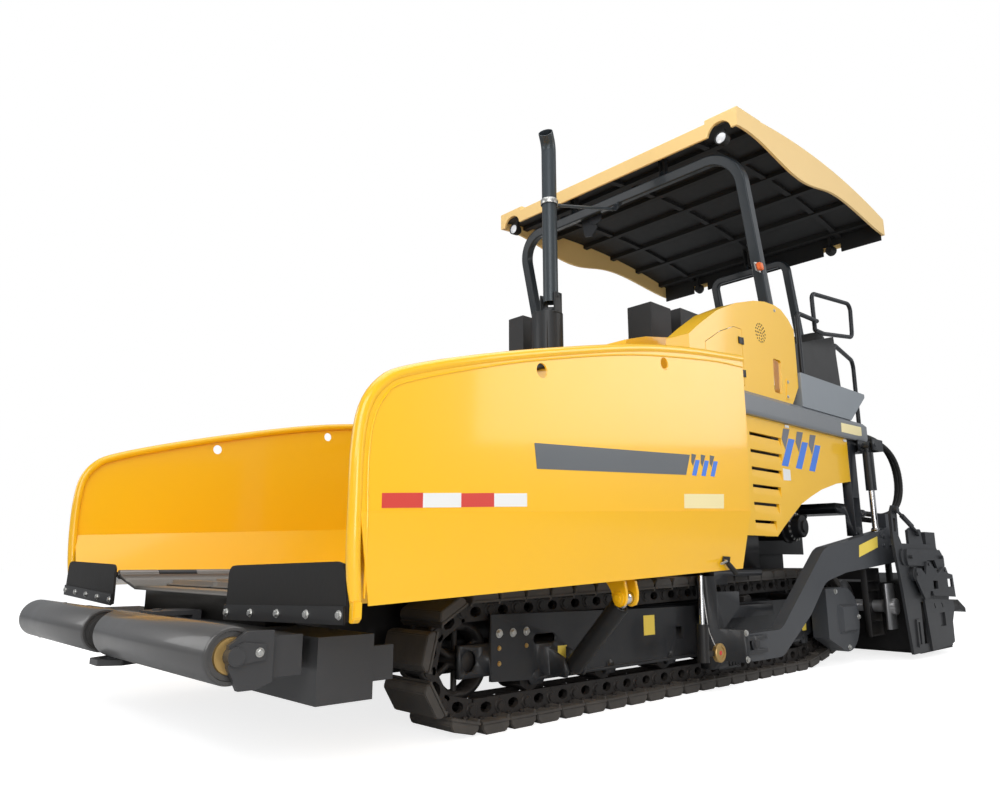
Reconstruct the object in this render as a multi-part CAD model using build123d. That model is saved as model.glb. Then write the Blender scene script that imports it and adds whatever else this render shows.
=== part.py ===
from build123d import *
import os
from math import acos, atan2, cos, hypot, pi, radians, sin, tan

os.makedirs("parts", exist_ok=True)

# Tracked asphalt paver, in millimetres. +X is forward, +Y is the machine's left, +Z is up.
# The origin lies on the ground in the middle of the machine's length and width.

# Overall
front_end = 3375.0
rear_end = -3375.0
plate = 20.0
fit = 0.3
clear = 6.0

# Tracks
track_middle = 950.0
shoe_width = 300.0
shoe_pitch = 171.5
shoe_gap = 7.0
shoe_height = 55.0
shoe_chamfer = 20.0
link_height = 85.0
link_width = 28.0
link_row_offset = 62.0
wheel_radius = 165.0
idler_x = 2105.0
idler_width = 90.0
sprocket_x = -1405.0
sprocket_lift = 80.0
roller_radius = 75.0
roller_half = 80.0
roller_count = 6
last_roller_x = -1005.0
first_roller_x = 1700.0
track_plate_y = track_middle + 116.0
frame_inner_y = track_middle - 136.0
roller_rise = 7.0

# Chassis
hull_half = 640.0
hull_bottom = 230.0
hull_front = 2740.0
hull_rear = -1620.0
floor_z = 590.0
engine_bottom = 980.0
engine_top = 1700.0

# Hopper and its wings
wing_outer_y = 1600.0
wing_hinge_y = 730.0
wing_hinge_z = 668.0
wing_sheet = 10.0
wing_front = 3091.0
wing_rear = 505.0
wing_bottom_y = 1450.0
rim_radius = 17.0
hopper_wall_x = 470.0
back_sheet = 14.0

# Push rollers and front beam
push_roller_radius = 95.0
push_roller_x = front_end - push_roller_radius
push_roller_z = 435.0
push_roller_end = 1225.0
push_roller_inner = 75.0
push_tube_front = push_roller_x - 135.0
push_tube_rear = push_tube_front - 120.0
front_beam_front = push_tube_rear - 50.0
front_beam_rear = 2740.0
front_beam_bottom = 245.0
front_beam_top = 475.0
front_beam_half = 1250.0

# Bodywork
side_y = 1200.0
deck_z = 1850.0
beam_bottom = 1690.0
beam_rear = -2065.0
cowl_sheet = 20.0
hood_half = 560.0

# Canopy
canopy_half = 1250.0
canopy_front = -255.0
canopy_rear = -2955.0
canopy_apex = 4066.0
canopy_edge = 3950.0
canopy_skin = 40.0
lining_sheet = 14.0
arch_base_x = -735.0
arch_base_z = 2530.0
arch_top_x = -440.0
arch_top_z = canopy_edge - 205.0
arch_half = 1130.0
arch_tube = 80.0
rear_arch_half = 400.0
rear_arch_tube = 70.0
rear_arch_top_x = -2620.0

# Exhaust
exhaust_x = 405.0
exhaust_pivot_z = 2665.0
exhaust_radius = 57.0
exhaust_top = 3985.0
stay_z = 3440.0
stay_radius = 12.0

# Screed, tow arms and augers
tow_x = 160.0
tow_z = 270.0
tow_arm_inner = 1262.0
tow_arm_outer = 1338.0
screed_half = 1430.0
screed_end_half = 1500.0
screed_bottom = 40.0
screed_front = -2145.0
screed_rear = -2900.0
screed_top = 565.0
auger_x = -1925.0
auger_z = 400.0
auger_radius = 185.0
auger_shaft = 45.0
auger_end = 1385.0
auger_inner = 110.0


def block(x, y, z):
    """A box between the given lowest and highest values."""
    middle = [(low + high) / 2 for low, high in (x, y, z)]
    return Pos(*middle) * Box(x[1] - x[0], y[1] - y[0], z[1] - z[0])


def side_plate(points, y_low, y_high, radius=0.0):
    """A plate in the XZ plane, from y_low to y_high, its corners rounded."""
    outline = Polygon(*points, align=None)
    if radius:
        outline = fillet(outline.vertices(), radius)
    return extrude(Plane.XZ.offset(-y_high) * outline, amount=y_high - y_low, dir=(0, -1, 0))


def cross_plate(points, x_low, x_high, radius=0.0):
    """A plate in the YZ plane, from x_low to x_high, its corners rounded."""
    outline = Polygon(*points, align=None)
    if radius:
        outline = fillet(outline.vertices(), radius)
    return extrude(Plane.YZ.offset(x_low) * outline, amount=x_high - x_low, dir=(1, 0, 0))


def flat_plate(points, z_low, z_high, radius=0.0):
    """A plate in the XY plane, from z_low to z_high, its corners rounded."""
    outline = Polygon(*points, align=None)
    if radius:
        outline = fillet(outline.vertices(), radius)
    return extrude(Plane.XY.offset(z_low) * outline, amount=z_high - z_low, dir=(0, 0, 1))


def curved_plate(points, radii, y_low, y_high):
    """A plate in the XZ plane with a radius of its own at each corner."""
    outline = make_face(FilletPolyline(*points, radius=radii, close=True))
    return extrude(Plane.XZ.offset(-y_high) * outline, amount=y_high - y_low, dir=(0, -1, 0))


def bar(start, end, radius):
    """A round bar from one point to another."""
    run = Vector(*end) - Vector(*start)
    place = Plane(origin=Vector(*start), z_dir=run)
    return place * Cylinder(radius, run.length, align=(Align.CENTER, Align.CENTER, Align.MIN))


def across(x, z, radius, y_low, y_high):
    """A round bar along Y."""
    return bar((x, y_low, z), (x, y_high, z), radius)


def round_tube(points, radius, bend):
    """A bent round tube along a path with rounded corners."""
    path = FilletPolyline(*points, radius=bend)
    return sweep(Plane(path @ 0, z_dir=path % 0) * Circle(radius), path=path)


def mirrored(shape):
    """The same piece on the machine's other side."""
    return mirror(shape, about=Plane.XZ)


def both(shape):
    """The piece and its twin on the other side."""
    return Part() + [shape, mirrored(shape)]


parts = {}

# Track path: the pin line runs round the last roller, the idler and the sprocket
pin_height = link_height / 2 + 2.5
outer_height = shoe_height + link_height
idler_z = outer_height + wheel_radius
sprocket_z = idler_z + sprocket_lift
roller_z = outer_height + roller_radius
wheels = [
    (last_roller_x, roller_z, roller_radius + pin_height),
    (idler_x, idler_z, wheel_radius + pin_height),
    (sprocket_x, sprocket_z, wheel_radius + pin_height),
]


def pin_path():
    """Straight runs and arcs of the pin line, as (length, function of distance)."""
    runs = []
    normals = []
    for index, (x, z, r) in enumerate(wheels):
        nx, nz, nr = wheels[(index + 1) % len(wheels)]
        span = hypot(nx - x, nz - z)
        turn = atan2(nz - z, nx - x) - acos((r - nr) / span)
        normals.append(turn)
    for index, (x, z, r) in enumerate(wheels):
        nx, nz, nr = wheels[(index + 1) % len(wheels)]
        turn = normals[index]
        start = (x + r * cos(turn), z + r * sin(turn))
        end = (nx + nr * cos(turn), nz + nr * sin(turn))
        length = hypot(end[0] - start[0], end[1] - start[1])
        runs.append((length, "line", start, end, 0.0, 0.0))
        sweep_angle = (normals[(index + 1) % len(wheels)] - turn) % (2 * pi)
        runs.append((nr * sweep_angle, "arc", (nx, nz), nr, turn, sweep_angle))
    return runs


def pin_points():
    """Equally spaced pins along the track path, and the pitch between them."""
    runs = pin_path()
    total = sum(run[0] for run in runs)
    count = round(total / shoe_pitch)
    points = []
    for index in range(count):
        distance = index * total / count
        for length, kind, first, second, turn, angle in runs:
            if distance <= length:
                break
            distance -= length
        share = distance / length
        if kind == "line":
            x = first[0] + share * (second[0] - first[0])
            z = first[1] + share * (second[1] - first[1])
        else:
            x = first[0] + second * cos(turn + share * angle)
            z = first[1] + second * sin(turn + share * angle)
        points.append((x, z))
    return points


def track_loop():
    """Two rows of links and the shoes bolted across them."""
    pins = pin_points()
    count = len(pins)
    inner = []
    outer = []
    shoes = []
    for index in range(count):
        before = pins[index - 1]
        here = pins[index]
        after = pins[(index + 1) % count]
        along = (after[0] - before[0], after[1] - before[1])
        size = hypot(*along)
        normal = (along[1] / size, -along[0] / size)
        span = hypot(after[0] - here[0], after[1] - here[1])
        tangent = ((after[0] - here[0]) / span, (after[1] - here[1]) / span)
        out = (tangent[1], -tangent[0])
        mitre = normal[0] * out[0] + normal[1] * out[1]
        drop = pin_height / mitre
        inner.append((here[0] - drop * normal[0], here[1] - drop * normal[1]))
        lift = (link_height - pin_height + 1.0) / mitre
        outer.append((here[0] + lift * normal[0], here[1] + lift * normal[1]))
        middle = ((here[0] + after[0]) / 2, (here[1] + after[1]) / 2)
        half = (shoe_pitch - shoe_gap) / 2
        base = link_height - pin_height
        top = base + shoe_height
        section = [(-half, base), (half, base), (half - shoe_chamfer, top), (-half + shoe_chamfer, top)]
        corners = []
        for a, b in section:
            x = middle[0] + a * tangent[0] + b * out[0]
            z = middle[1] + a * tangent[1] + b * out[1]
            corners.append((x, z))
        low = track_middle - shoe_width / 2
        shoes.append(side_plate(corners, low, low + shoe_width))
    rows = []
    ring = Polygon(*outer, align=None) - Polygon(*inner, align=None)
    for side in (-1, 1):
        centre = track_middle + side * link_row_offset
        place = Plane.XZ.offset(-centre - link_width / 2)
        rows.append(extrude(place * ring, amount=link_width, dir=(0, -1, 0)))
    return Part() + rows + shoes


parts["track_left"] = track_loop()
parts["track_right"] = mirrored(parts["track_left"])

# Idler: a spoked wheel between the link rows, on its axle
idler_ring = across(idler_x, idler_z, wheel_radius - fit, track_middle - idler_width / 2,
                    track_middle + idler_width / 2)
idler_ring -= across(idler_x, idler_z, wheel_radius - 32, track_middle - idler_width / 2,
                     track_middle + idler_width / 2)
idler = Part() + [idler_ring, across(idler_x, idler_z, 45, track_middle - 88, track_middle + 88)]
for index in range(6):
    angle = radians(30 + 60 * index)
    idler += bar((idler_x, track_middle, idler_z),
                 (idler_x + (wheel_radius - 20) * cos(angle), track_middle,
                  idler_z + (wheel_radius - 20) * sin(angle)), 14)
parts["idlers"] = both(idler)

# Sprocket: a toothed disc that the track wraps at the rear
sprocket = across(sprocket_x, sprocket_z, wheel_radius - 25, track_middle - 35, track_middle + 35)
for index in range(9):
    angle = 2 * pi * index / 9
    sprocket += bar((sprocket_x, track_middle, sprocket_z),
                    (sprocket_x + (wheel_radius - 2) * cos(angle), track_middle,
                     sprocket_z + (wheel_radius - 2) * sin(angle)), 20)
sprocket += across(sprocket_x, sprocket_z, 110, hull_half + plate / 2 + fit, track_middle + 100)
parts["sprockets"] = both(sprocket)

# Bottom rollers and two carrier rollers
rollers = []
for index in range(roller_count):
    share = index / (roller_count - 1)
    x = first_roller_x + share * (last_roller_x - first_roller_x)
    rise = roller_rise if index == roller_count - 1 else 0.0
    rollers.append(across(x, roller_z + rise, roller_radius - fit, track_middle - roller_half,
                          track_middle + roller_half))
carrier_radius = 55.0
carrier_xs = (1050.0, -350.0)


def top_run_height(x):
    """Height of the inside of the track's top run."""
    share = (idler_x - x) / (idler_x - sprocket_x)
    return idler_z + wheel_radius + share * (sprocket_z - idler_z)


for x in carrier_xs:
    z = top_run_height(x) - carrier_radius - 3 * fit
    rollers.append(across(x, z, carrier_radius, track_middle - roller_half, track_middle + roller_half))
parts["track_rollers"] = both(Part() + rollers)

# Track frame: an outer side plate, an inner one and a box beam between them
frame_low = outer_height + 55.0
frame_front = 1990.0
frame_rear = -1200.0
side_outline = [
    (frame_front, frame_low + 15),
    (frame_front, 500),
    (700, 480),
    (frame_rear + 250, 478),
    (frame_rear, 430),
    (frame_rear, frame_low + 60),
    (last_roller_x + 90, frame_low),
    (first_roller_x, frame_low),
]
outer_plate = side_plate(side_outline, track_plate_y - 6, track_plate_y + 14)
outer_plate -= block((486, 556), (track_plate_y - 10, track_plate_y + 20), (300, 370))
outer_plate -= block((1590, 1700), (track_plate_y - 10, track_plate_y + 20), (352, 400))
for x in (1590.0, 1700.0):
    outer_plate -= across(x, 376, 24, track_plate_y - 10, track_plate_y + 20)
outer_plate += block((frame_rear + 300, 1700), (track_plate_y + 13, track_plate_y + 30),
                     (frame_low, frame_low + 14))
frame_plates = [outer_plate, side_plate(side_outline, frame_inner_y, frame_inner_y + 20)]
beam_bottom_z = roller_z + roller_radius + 8
beam = block((frame_rear + 100, frame_front - 120), (frame_inner_y + 20, track_plate_y - 6),
             (beam_bottom_z, beam_bottom_z + 60))
track_frame = Part() + frame_plates + [beam]
bracket_low = roller_z - 42.0
for index in range(roller_count):
    share = index / (roller_count - 1)
    x = first_roller_x + share * (last_roller_x - first_roller_x)
    rise = roller_rise if index == roller_count - 1 else 0.0
    track_frame += side_plate([(x - 62, frame_low + 20), (x + 62, frame_low + 20), (x + 36, bracket_low),
                               (x - 36, bracket_low)], track_plate_y - 6, track_plate_y + 14)
    track_frame += across(x, roller_z + rise, 26, track_plate_y + 10, track_plate_y + 22)
    track_frame += across(x, roller_z + rise, 22, frame_inner_y + 20, track_middle - roller_half - fit)
    track_frame += across(x, roller_z + rise, 22, track_middle + roller_half + fit, track_plate_y - 6)
for x in carrier_xs:
    z = top_run_height(x) - carrier_radius - 3 * fit
    track_frame += across(x, z, 15, frame_inner_y + 20, track_middle - roller_half - fit)
for y_low, y_high in ((frame_inner_y + 20, track_middle - roller_half),
                      (track_middle + roller_half, track_plate_y - 6)):
    track_frame += block((frame_front - 130, idler_x + 60), (y_low, y_high), (idler_z - 70, idler_z + 70))
track_frame -= across(idler_x, idler_z, 46, frame_inner_y - 14, track_plate_y - 6)
for x in (1250.0, -650.0):
    track_frame += block((x - 110, x + 110), (hull_half + plate / 2 + fit, frame_inner_y + 1), (270, 400))
# Foot of the wing cylinder on the track frame
clevis_x = 1550.0
cyl_base_y = 1165.0
cyl_base_z = 235.0
foot_face_y = track_plate_y + 13
for side in (-1, 1):
    low = clevis_x + side * 62 - 10
    track_frame += cross_plate([(foot_face_y, 205), (foot_face_y, 330), (cyl_base_y + 10, 290),
                                (cyl_base_y + 32, 235), (cyl_base_y + 20, 205)], low, low + 20)
track_frame += bar((clevis_x - 74, cyl_base_y, cyl_base_z), (clevis_x + 74, cyl_base_y, cyl_base_z), 15)
parts["track_frames"] = both(track_frame)

# Chassis: two side plates, a floor and cross members, open along the conveyor tunnel
hull_side = [
    (hull_front, front_beam_bottom + 20),
    (hull_front, front_beam_top),
    (2600, floor_z - fit),
    (hopper_wall_x - back_sheet - fit, floor_z - fit),
    (hopper_wall_x - back_sheet - fit, 1640),
    (hull_rear, 1640),
    (hull_rear, hull_bottom + 150),
    (hull_rear + 200, hull_bottom),
    (2500, hull_bottom),
]
main_frame = both(side_plate(hull_side, hull_half - plate / 2, hull_half + plate / 2))
main_frame += block((hull_rear, 2500), (-hull_half, hull_half), (hull_bottom + 20, hull_bottom + 40))
for x in (2400.0, 1250.0, 100.0, -650.0, -1500.0):
    main_frame += block((x - 60, x + 60), (-hull_half, hull_half), (hull_bottom + 20, hull_bottom + 150))
main_frame += block((hull_rear, hull_rear + plate), (-hull_half, hull_half), (1000, 1640))
main_frame += block((300, 320), (-hull_half, hull_half), (930, 1640))
for x in (-1000.0, 0.0):
    main_frame += block((x - 40, x + 40), (-hull_half, hull_half), (engine_bottom - 60, engine_bottom - fit))
lift_x = -1880.0
lift_y = 1300.0
lift_top_z = 1640.0
lift_eye_z = 960.0
# Side boxes over the tracks, below the engine panels
side_box = block((-300, 440), (1140, 1165), (695, 899))
side_box += block((-300, 440), (hull_half, 1141), (695, 707))
main_frame += both(side_box)
parts["main_frame"] = main_frame

# Posts at the chassis rear that hang the lift cylinders from two ears each
post_front = -1750.0
post_rear = -1885.0
ear_gap = 46.0
ear_sheet = 18.0
ear_low_z = 1600.0
lift_post = block((post_rear, post_front), (side_y - 70, side_y), (930, beam_bottom - fit))
lift_post -= block((post_rear + 15, post_front - 15), (side_y - 55, side_y + 5), (1000, 1230))
lift_post += block((post_rear, hull_rear + 60), (hull_half + plate / 2 + fit, side_y - 60), (1100, 1180))
lift_post += block((beam_rear + 30, post_rear + 1), (side_y - 60, side_y), (1600, beam_bottom - fit))
for side in (-1, 1):
    low = lift_y + side * (ear_gap + ear_sheet / 2) - ear_sheet / 2
    lift_post += block((beam_rear + 30, lift_x + 45), (low, low + ear_sheet), (ear_low_z, beam_bottom - fit))
lift_post += block((beam_rear + 30, beam_rear + 70), (side_y - 10, lift_y + ear_gap + 1),
                   (ear_low_z, beam_bottom - fit))
lift_post += across(lift_x, lift_top_z, 16, lift_y - ear_gap - 1, lift_y + ear_gap + ear_sheet + 6)
parts["lift_posts"] = both(lift_post)

# Front beam across the nose, with a small bracket at each end
front_beam = block((front_beam_rear + fit, front_beam_front), (-front_beam_half, front_beam_half),
                   (front_beam_bottom, front_beam_top))
front_beam += both(block((front_beam_rear - 95, front_beam_rear + 1),
                         (front_beam_half - 30, front_beam_half - 10), (305, 430)))
push_pin_x = (push_tube_front + push_tube_rear) / 2
front_beam += block((front_beam_front - 1, push_tube_front - 12), (-90, 90), (326, 348))
front_beam += block((front_beam_front - 60, push_tube_front - 12), (-90, 90), (497, 517))
front_beam += block((front_beam_front - 60, front_beam_front - 20), (-90, 90), (front_beam_top - 5, 500))
front_beam += bar((push_pin_x, 0, 320), (push_pin_x, 0, 524), 20)
parts["front_beam"] = front_beam

# Push beam on its middle pin, with the roller brackets and the tow eye
push_beam = block((push_tube_rear, push_tube_front), (-front_beam_half + 20, front_beam_half - 20),
                  (355, 490))
bracket = side_plate(
    [(push_tube_front - 2, 345), (push_tube_front - 2, 510), (push_roller_x - 40, 510),
     (push_roller_x + 20, 470), (push_roller_x + 20, 400), (push_roller_x - 20, 325),
     (push_roller_x - 80, 325)], push_roller_end + 1, push_roller_end + 26)
push_beam += both(bracket)
push_beam += both(across(push_roller_x, push_roller_z, 30, push_roller_end - 24, push_roller_end + 45))
middle_bracket = side_plate(
    [(push_tube_front - 2, 345), (push_tube_front - 2, 510), (push_roller_x - 40, 510),
     (push_roller_x + 40, 470), (push_roller_x + 40, 400), (push_roller_x - 20, 325),
     (push_roller_x - 80, 325)], 30, 55)
push_beam += both(middle_bracket)
push_beam += both(across(push_roller_x, push_roller_z, 30, 40, push_roller_inner + 24))
eye = flat_plate([(push_tube_front - 5, -60), (push_tube_front - 5, 60), (push_roller_x - 30, 110),
                  (push_roller_x + 55, 60), (push_roller_x + 55, -60), (push_roller_x - 30, -110)],
                 300, 325, 20)
eye -= bar((push_roller_x - 15, 0, 290), (push_roller_x - 15, 0, 340), 45)
push_beam += eye
push_beam += block((push_tube_front - 5, push_tube_front + 40), (-56, 56), (300, 420))
push_beam -= bar((push_pin_x, 0, 300), (push_pin_x, 0, 540), 20.5)
parts["push_beam"] = push_beam

# Push rollers: hollow drums with end collars on their axle
drum = across(push_roller_x, push_roller_z, push_roller_radius, push_roller_inner, push_roller_end - 2)
drum -= across(push_roller_x, push_roller_z, push_roller_radius - 14, push_roller_inner + 20,
               push_roller_end - 22)
drum -= across(push_roller_x, push_roller_z, 30.5, push_roller_inner - 1, push_roller_inner + 24.5)
drum -= across(push_roller_x, push_roller_z, 30.5, push_roller_end - 24.5, push_roller_end)
parts["push_roller_left"] = drum
parts["push_roller_right"] = mirrored(drum)

# Hopper floor and the two slat conveyors in it, running back under the engine
floor_half = wing_hinge_y - 30
knuckle_radius = 24.0
hinge_rod = 14.0
hinge_front = 3040.0
hinge_rear = 560.0
knuckle_count = 6


def hinge_bar(x_low, x_high, radius):
    """A round bar along the left wing's hinge line."""
    return bar((x_low, wing_hinge_y, wing_hinge_z), (x_high, wing_hinge_y, wing_hinge_z), radius)


def knuckle_ends(index):
    """Start and end of one of the hinge knuckles along X."""
    step = (hinge_front - hinge_rear) / knuckle_count
    return hinge_rear + index * step, hinge_rear + (index + 0.5) * step


hopper_floor = block((hopper_wall_x + fit, 2960), (-floor_half, floor_half), (floor_z, floor_z + 20))
sill = side_plate([(2960, floor_z + 1), (hinge_front, wing_hinge_z - 20), (hinge_front, wing_hinge_z),
                   (hinge_rear, wing_hinge_z), (hinge_rear, floor_z + 1)], floor_half - 20, floor_half)
sill += hinge_bar(hinge_rear - 10, hinge_front + 5, hinge_rod)
for index in range(knuckle_count):
    low, high = knuckle_ends(index)
    step = high - low
    sill += hinge_bar(high + 3, high + step - 3, knuckle_radius)
    sill += block((high + 4, high + step - 4), (floor_half - 5, wing_hinge_y),
                  (wing_hinge_z - 16, wing_hinge_z + 4))
hopper_floor += both(sill)
hopper_floor += block((2760, 2900), (-floor_half, floor_half), (front_beam_top + fit, floor_z + 1))
parts["hopper_floor"] = hopper_floor
slats = []
for y_low, y_high in ((25, 545), (-545, -25)):
    slats.append(block((-1560, 2850), (y_low, y_high), (floor_z + 20 + fit, 621)))
    for index in range(18):
        x = 2800 - index * 240
        slats.append(block((x - 20, x + 20), (y_low, y_high), (620, 640)))
conveyor = Part() + slats
parts["conveyor"] = conveyor

# Wall between hopper and engine, with the conveyor gate cut in it
back_wall = cross_plate(
    [(-1140, 700), (-700, 650), (700, 650), (1140, 700), (1140, 1700), (1040, 1790), (-1040, 1790),
     (-1140, 1700)], hopper_wall_x - back_sheet, hopper_wall_x, 30)
back_wall -= block((hopper_wall_x - 20, hopper_wall_x + 10), (-545, 545), (640, 980))
parts["hopper_back"] = back_wall


# Wing: outer wall, knee, slanted lower wall and floor, hinged along its inner edge
def edge_z(x, front_value, rear_value):
    """Height along the wing, from its front end to its rear end."""
    share = (wing_front - x) / (wing_front - wing_rear)
    return front_value + share * (rear_value - front_value)


def wing_wall():
    """The upright wall with its arched top and tapered rear edge."""
    outline = [
        (3060, edge_z(3060, 905, 1000)),
        (3091, 1130),
        (3055, 1280),
        (2955, 1370),
        (2790, 1440),
        (2430, 1548),
        (1650, 1722),
        (1100, 1810),
        (wing_rear + 20, 1880),
        (wing_rear + 20, 1860),
        (580, edge_z(580, 905, 1000)),
    ]
    wall = side_plate(outline, wing_outer_y - wing_sheet, wing_outer_y)
    for x, z in ((2188, 1513), (1305, 1699)):
        wall -= across(x, z, 32, wing_outer_y - 30, wing_outer_y + 10)
    return wall


def wing_lower():
    """The slanted wall below the knee and the floor, lofted from front to rear."""
    sections = []
    for x, knee, low in ((3060, 905, 592), (580, 1000, 707)):
        inner_z = wing_hinge_z - 4
        points = [
            (wing_outer_y, knee),
            (wing_bottom_y, low),
            (wing_hinge_y + 18, inner_z),
            (wing_hinge_y + 18, inner_z + wing_sheet),
            (wing_bottom_y - 6, low + wing_sheet),
            (wing_outer_y - wing_sheet, knee),
        ]
        sections.append(Plane.YZ.offset(x) * make_face(Polyline(*points, close=True)))
    return loft(sections, ruled=True)


rim_points = [
    (3075, 1600 - 8, 900),
    (3091, 1600 - 8, 1130),
    (3055, 1600 - 8, 1280),
    (2955, 1600 - 8, 1370),
    (2790, 1600 - 8, 1440),
    (2430, 1600 - 8, 1548),
    (1650, 1600 - 8, 1722),
    (wing_rear + 25, 1600 - 8, 1872),
]
rim_path = FilletPolyline(*rim_points, radius=(120, 110, 110, 200, 500, 900))
rim = sweep(Plane(rim_path @ 0, z_dir=rim_path % 0) * Circle(rim_radius), path=rim_path)
wing = Part() + [wing_wall(), wing_lower(), rim]
for index in range(knuckle_count):
    low, high = knuckle_ends(index)
    wing += hinge_bar(low, high, knuckle_radius)
wing -= hinge_bar(hinge_rear - 60, hinge_front + 60, hinge_rod + 0.6)
for index in range(knuckle_count):
    low, high = knuckle_ends(index)
    wing -= hinge_bar(high - 2, high + (high - low) + 2, knuckle_radius + 4)
wing -= hinge_bar(hinge_front - 200, hinge_front + 60, knuckle_radius + 4)
clevis_y = 1500.0
clevis_z = 575.0
for side in (-1, 1):
    ear_low = clevis_x + side * 40 - 9
    ear = cross_plate([(clevis_y - 150, 672), (clevis_y - 30, 545), (clevis_y + 30, 545),
                       (clevis_y + 28, 700), (clevis_y - 40, 680)], ear_low, ear_low + 18)
    wing += ear
    wing += bar((clevis_x + side * 45, clevis_y, clevis_z), (clevis_x + side * 62, clevis_y, clevis_z), 18)
parts["wing_left"] = wing
parts["wing_right"] = mirrored(wing)

# Rubber flap on a steel strip across each wing's front end
flap_x = 3060 + fit
flap = cross_plate([(662, 530), (662, 560), (668, 690), (690, 722), (1470, 734), (1500, 700), (1512, 600),
                    (1500, 540)], flap_x, flap_x + 14)
strip = cross_plate([(660, 522), (660, 578), (1500, 590), (1500, 532)], flap_x + 14, flap_x + 22)
parts["flap_left"] = flap + strip
parts["flap_right"] = mirrored(parts["flap_left"])

# Wing cylinder between the track frame and the wing
cyl_run = (clevis_y - cyl_base_y, clevis_z - cyl_base_z)
cyl_length = hypot(*cyl_run)
cyl_way = (cyl_run[0] / cyl_length, cyl_run[1] / cyl_length)


def cylinder_point(distance):
    """A point on the wing cylinder's axis, measured from its foot."""
    return (clevis_x, cyl_base_y + distance * cyl_way[0], cyl_base_z + distance * cyl_way[1])


barrel = bar(cylinder_point(20), cylinder_point(cyl_length - 50), 45)
barrel -= bar(cylinder_point(30), cylinder_point(cyl_length - 40), 25.5)
barrel += bar((clevis_x - 34, cyl_base_y, cyl_base_z), (clevis_x + 34, cyl_base_y, cyl_base_z), 28)
barrel -= bar((clevis_x - 40, cyl_base_y, cyl_base_z), (clevis_x + 40, cyl_base_y, cyl_base_z), 15.5)
parts["wing_cylinder_left"] = barrel
parts["wing_cylinder_right"] = mirrored(barrel)
rod = bar(cylinder_point(34), cylinder_point(cyl_length - 20), 25)
rod += bar((clevis_x - 24, clevis_y, clevis_z), (clevis_x + 24, clevis_y, clevis_z), 30)
parts["wing_rod_left"] = rod
parts["wing_rod_right"] = mirrored(rod)

# Engine block between the chassis plates
parts["engine_block"] = block((-1150, 150), (-420, 420), (engine_bottom, engine_top))

# Louvred engine side panel with the big arch over the drive
panel_front = 440.0
panel_rear = -1745.0
panel_outline = [
    (panel_front, 899),
    (panel_front, beam_bottom - fit),
    (panel_rear, beam_bottom - fit),
    (panel_rear, 1351),
    (-1486, 1318),
    (-1224, 1257),
    (-1047, 1198),
    (-876, 1132),
    (-613, 975),
    (-498, 899),
]
panel = side_plate(panel_outline, side_y - 22, side_y)
for index in range(6):
    z = 1580 - index * 116
    louvre_rear = -646 + 6 * index ** 2
    panel -= block((louvre_rear, -215), (side_y - 30, side_y + 5), (z - 78, z))
    blade = [(side_y - 22, z - 22), (side_y - 14, z - 18), (side_y, z - 72), (side_y, z - 79),
             (side_y - 9, z - 79)]
    panel += cross_plate(blade, louvre_rear - 1, -214)
flange = [(x, z) for x, z in panel_outline[3:]]
panel += side_plate(flange + [(x + 22, z + 30) for x, z in reversed(flange)], side_y - 90, side_y - 21)
parts["engine_panels"] = both(panel)

# Side beams that carry the platform and the cowls
beam_profile = [
    (side_y + 30, beam_bottom),
    (side_y + 40, beam_bottom + 30),
    (side_y + 40, deck_z - 30),
    (side_y + 10, deck_z),
    (side_y - 60, deck_z),
    (side_y - 60, beam_bottom),
]
side_beam = cross_plate(beam_profile, beam_rear, panel_front)
parts["side_beams"] = both(side_beam)

# Platform deck behind the engine, running out over the screed
deck = flat_plate([(-700, -1139), (-700, 1139), (beam_rear, 1139), (-2300, 900), (-2920, 900),
                   (-2920, -900), (-2300, -900), (beam_rear, -1139)], deck_z - 40, deck_z)
deck += both(block((-2900, hull_rear), (500, 560), (deck_z - 140, deck_z - 39)))
deck += block((hull_rear, hull_rear + plate), (-hull_half, hull_half), (1640 + fit, deck_z - 39))
deck += both(side_plate([(hull_rear, 1500), (hull_rear, deck_z - 39), (-2500, deck_z - 39)], 520, 540))

# Cowls: yellow shells beside the engine, from the hopper wall to the operator
cowl_outline = [
    (445, deck_z + fit),
    (445, 2120),
    (311, 2215),
    (100, 2350),
    (-150, 2460),
    (-400, 2535),
    (-560, 2565),
    (-700, 2572),
    (-800, 2560),
    (-900, 2510),
    (-983, 2440),
    (-983, 2000),
    (-870, deck_z + fit),
]
cowl_depth = 170.0
cowl = side_plate(cowl_outline, side_y - cowl_depth, side_y)
inside = side_plate(
    [(415, deck_z - 20), (415, 2100), (290, 2190), (90, 2320), (-160, 2430), (-400, 2505), (-560, 2535),
     (-700, 2542), (-790, 2530), (-880, 2485), (-953, 2420), (-953, 2010), (-850, deck_z - 20)],
    side_y - cowl_depth - 5, side_y - cowl_sheet)
cowl -= inside
door_hinge_x = -203.0
door_points = [(door_hinge_x, 1885), (door_hinge_x, 2285), (-100, 2283), (84, 2211), (262, 2107), (268, 2060),
               (268, 1885)]
door_gap = 4.0
cowl -= side_plate(door_points, side_y - cowl_sheet - 5, side_y + 5)
slot = side_plate([(-610, 1905), (-725, 1905), (-738, 2155), (-622, 2155)],
                  side_y - cowl_sheet - 5, side_y + 5, 18)
cowl -= slot
cowl -= block((arch_base_x - 77, arch_base_x + 165),
              (arch_half - arch_tube / 2 - 10, arch_half + arch_tube / 2 + 9), (2430, 2600))
bracket_y = side_y - cowl_depth
cowl += side_plate([(arch_base_x - 90, deck_z + fit), (arch_base_x - 45, arch_base_z),
                    (arch_base_x + 45, arch_base_z), (arch_base_x + 90, deck_z + fit)],
                   bracket_y, bracket_y + 18)
cowl += across(arch_base_x, arch_base_z, 14, bracket_y + 2, side_y - cowl_sheet - fit)
parts["cowls"] = both(cowl)

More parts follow.
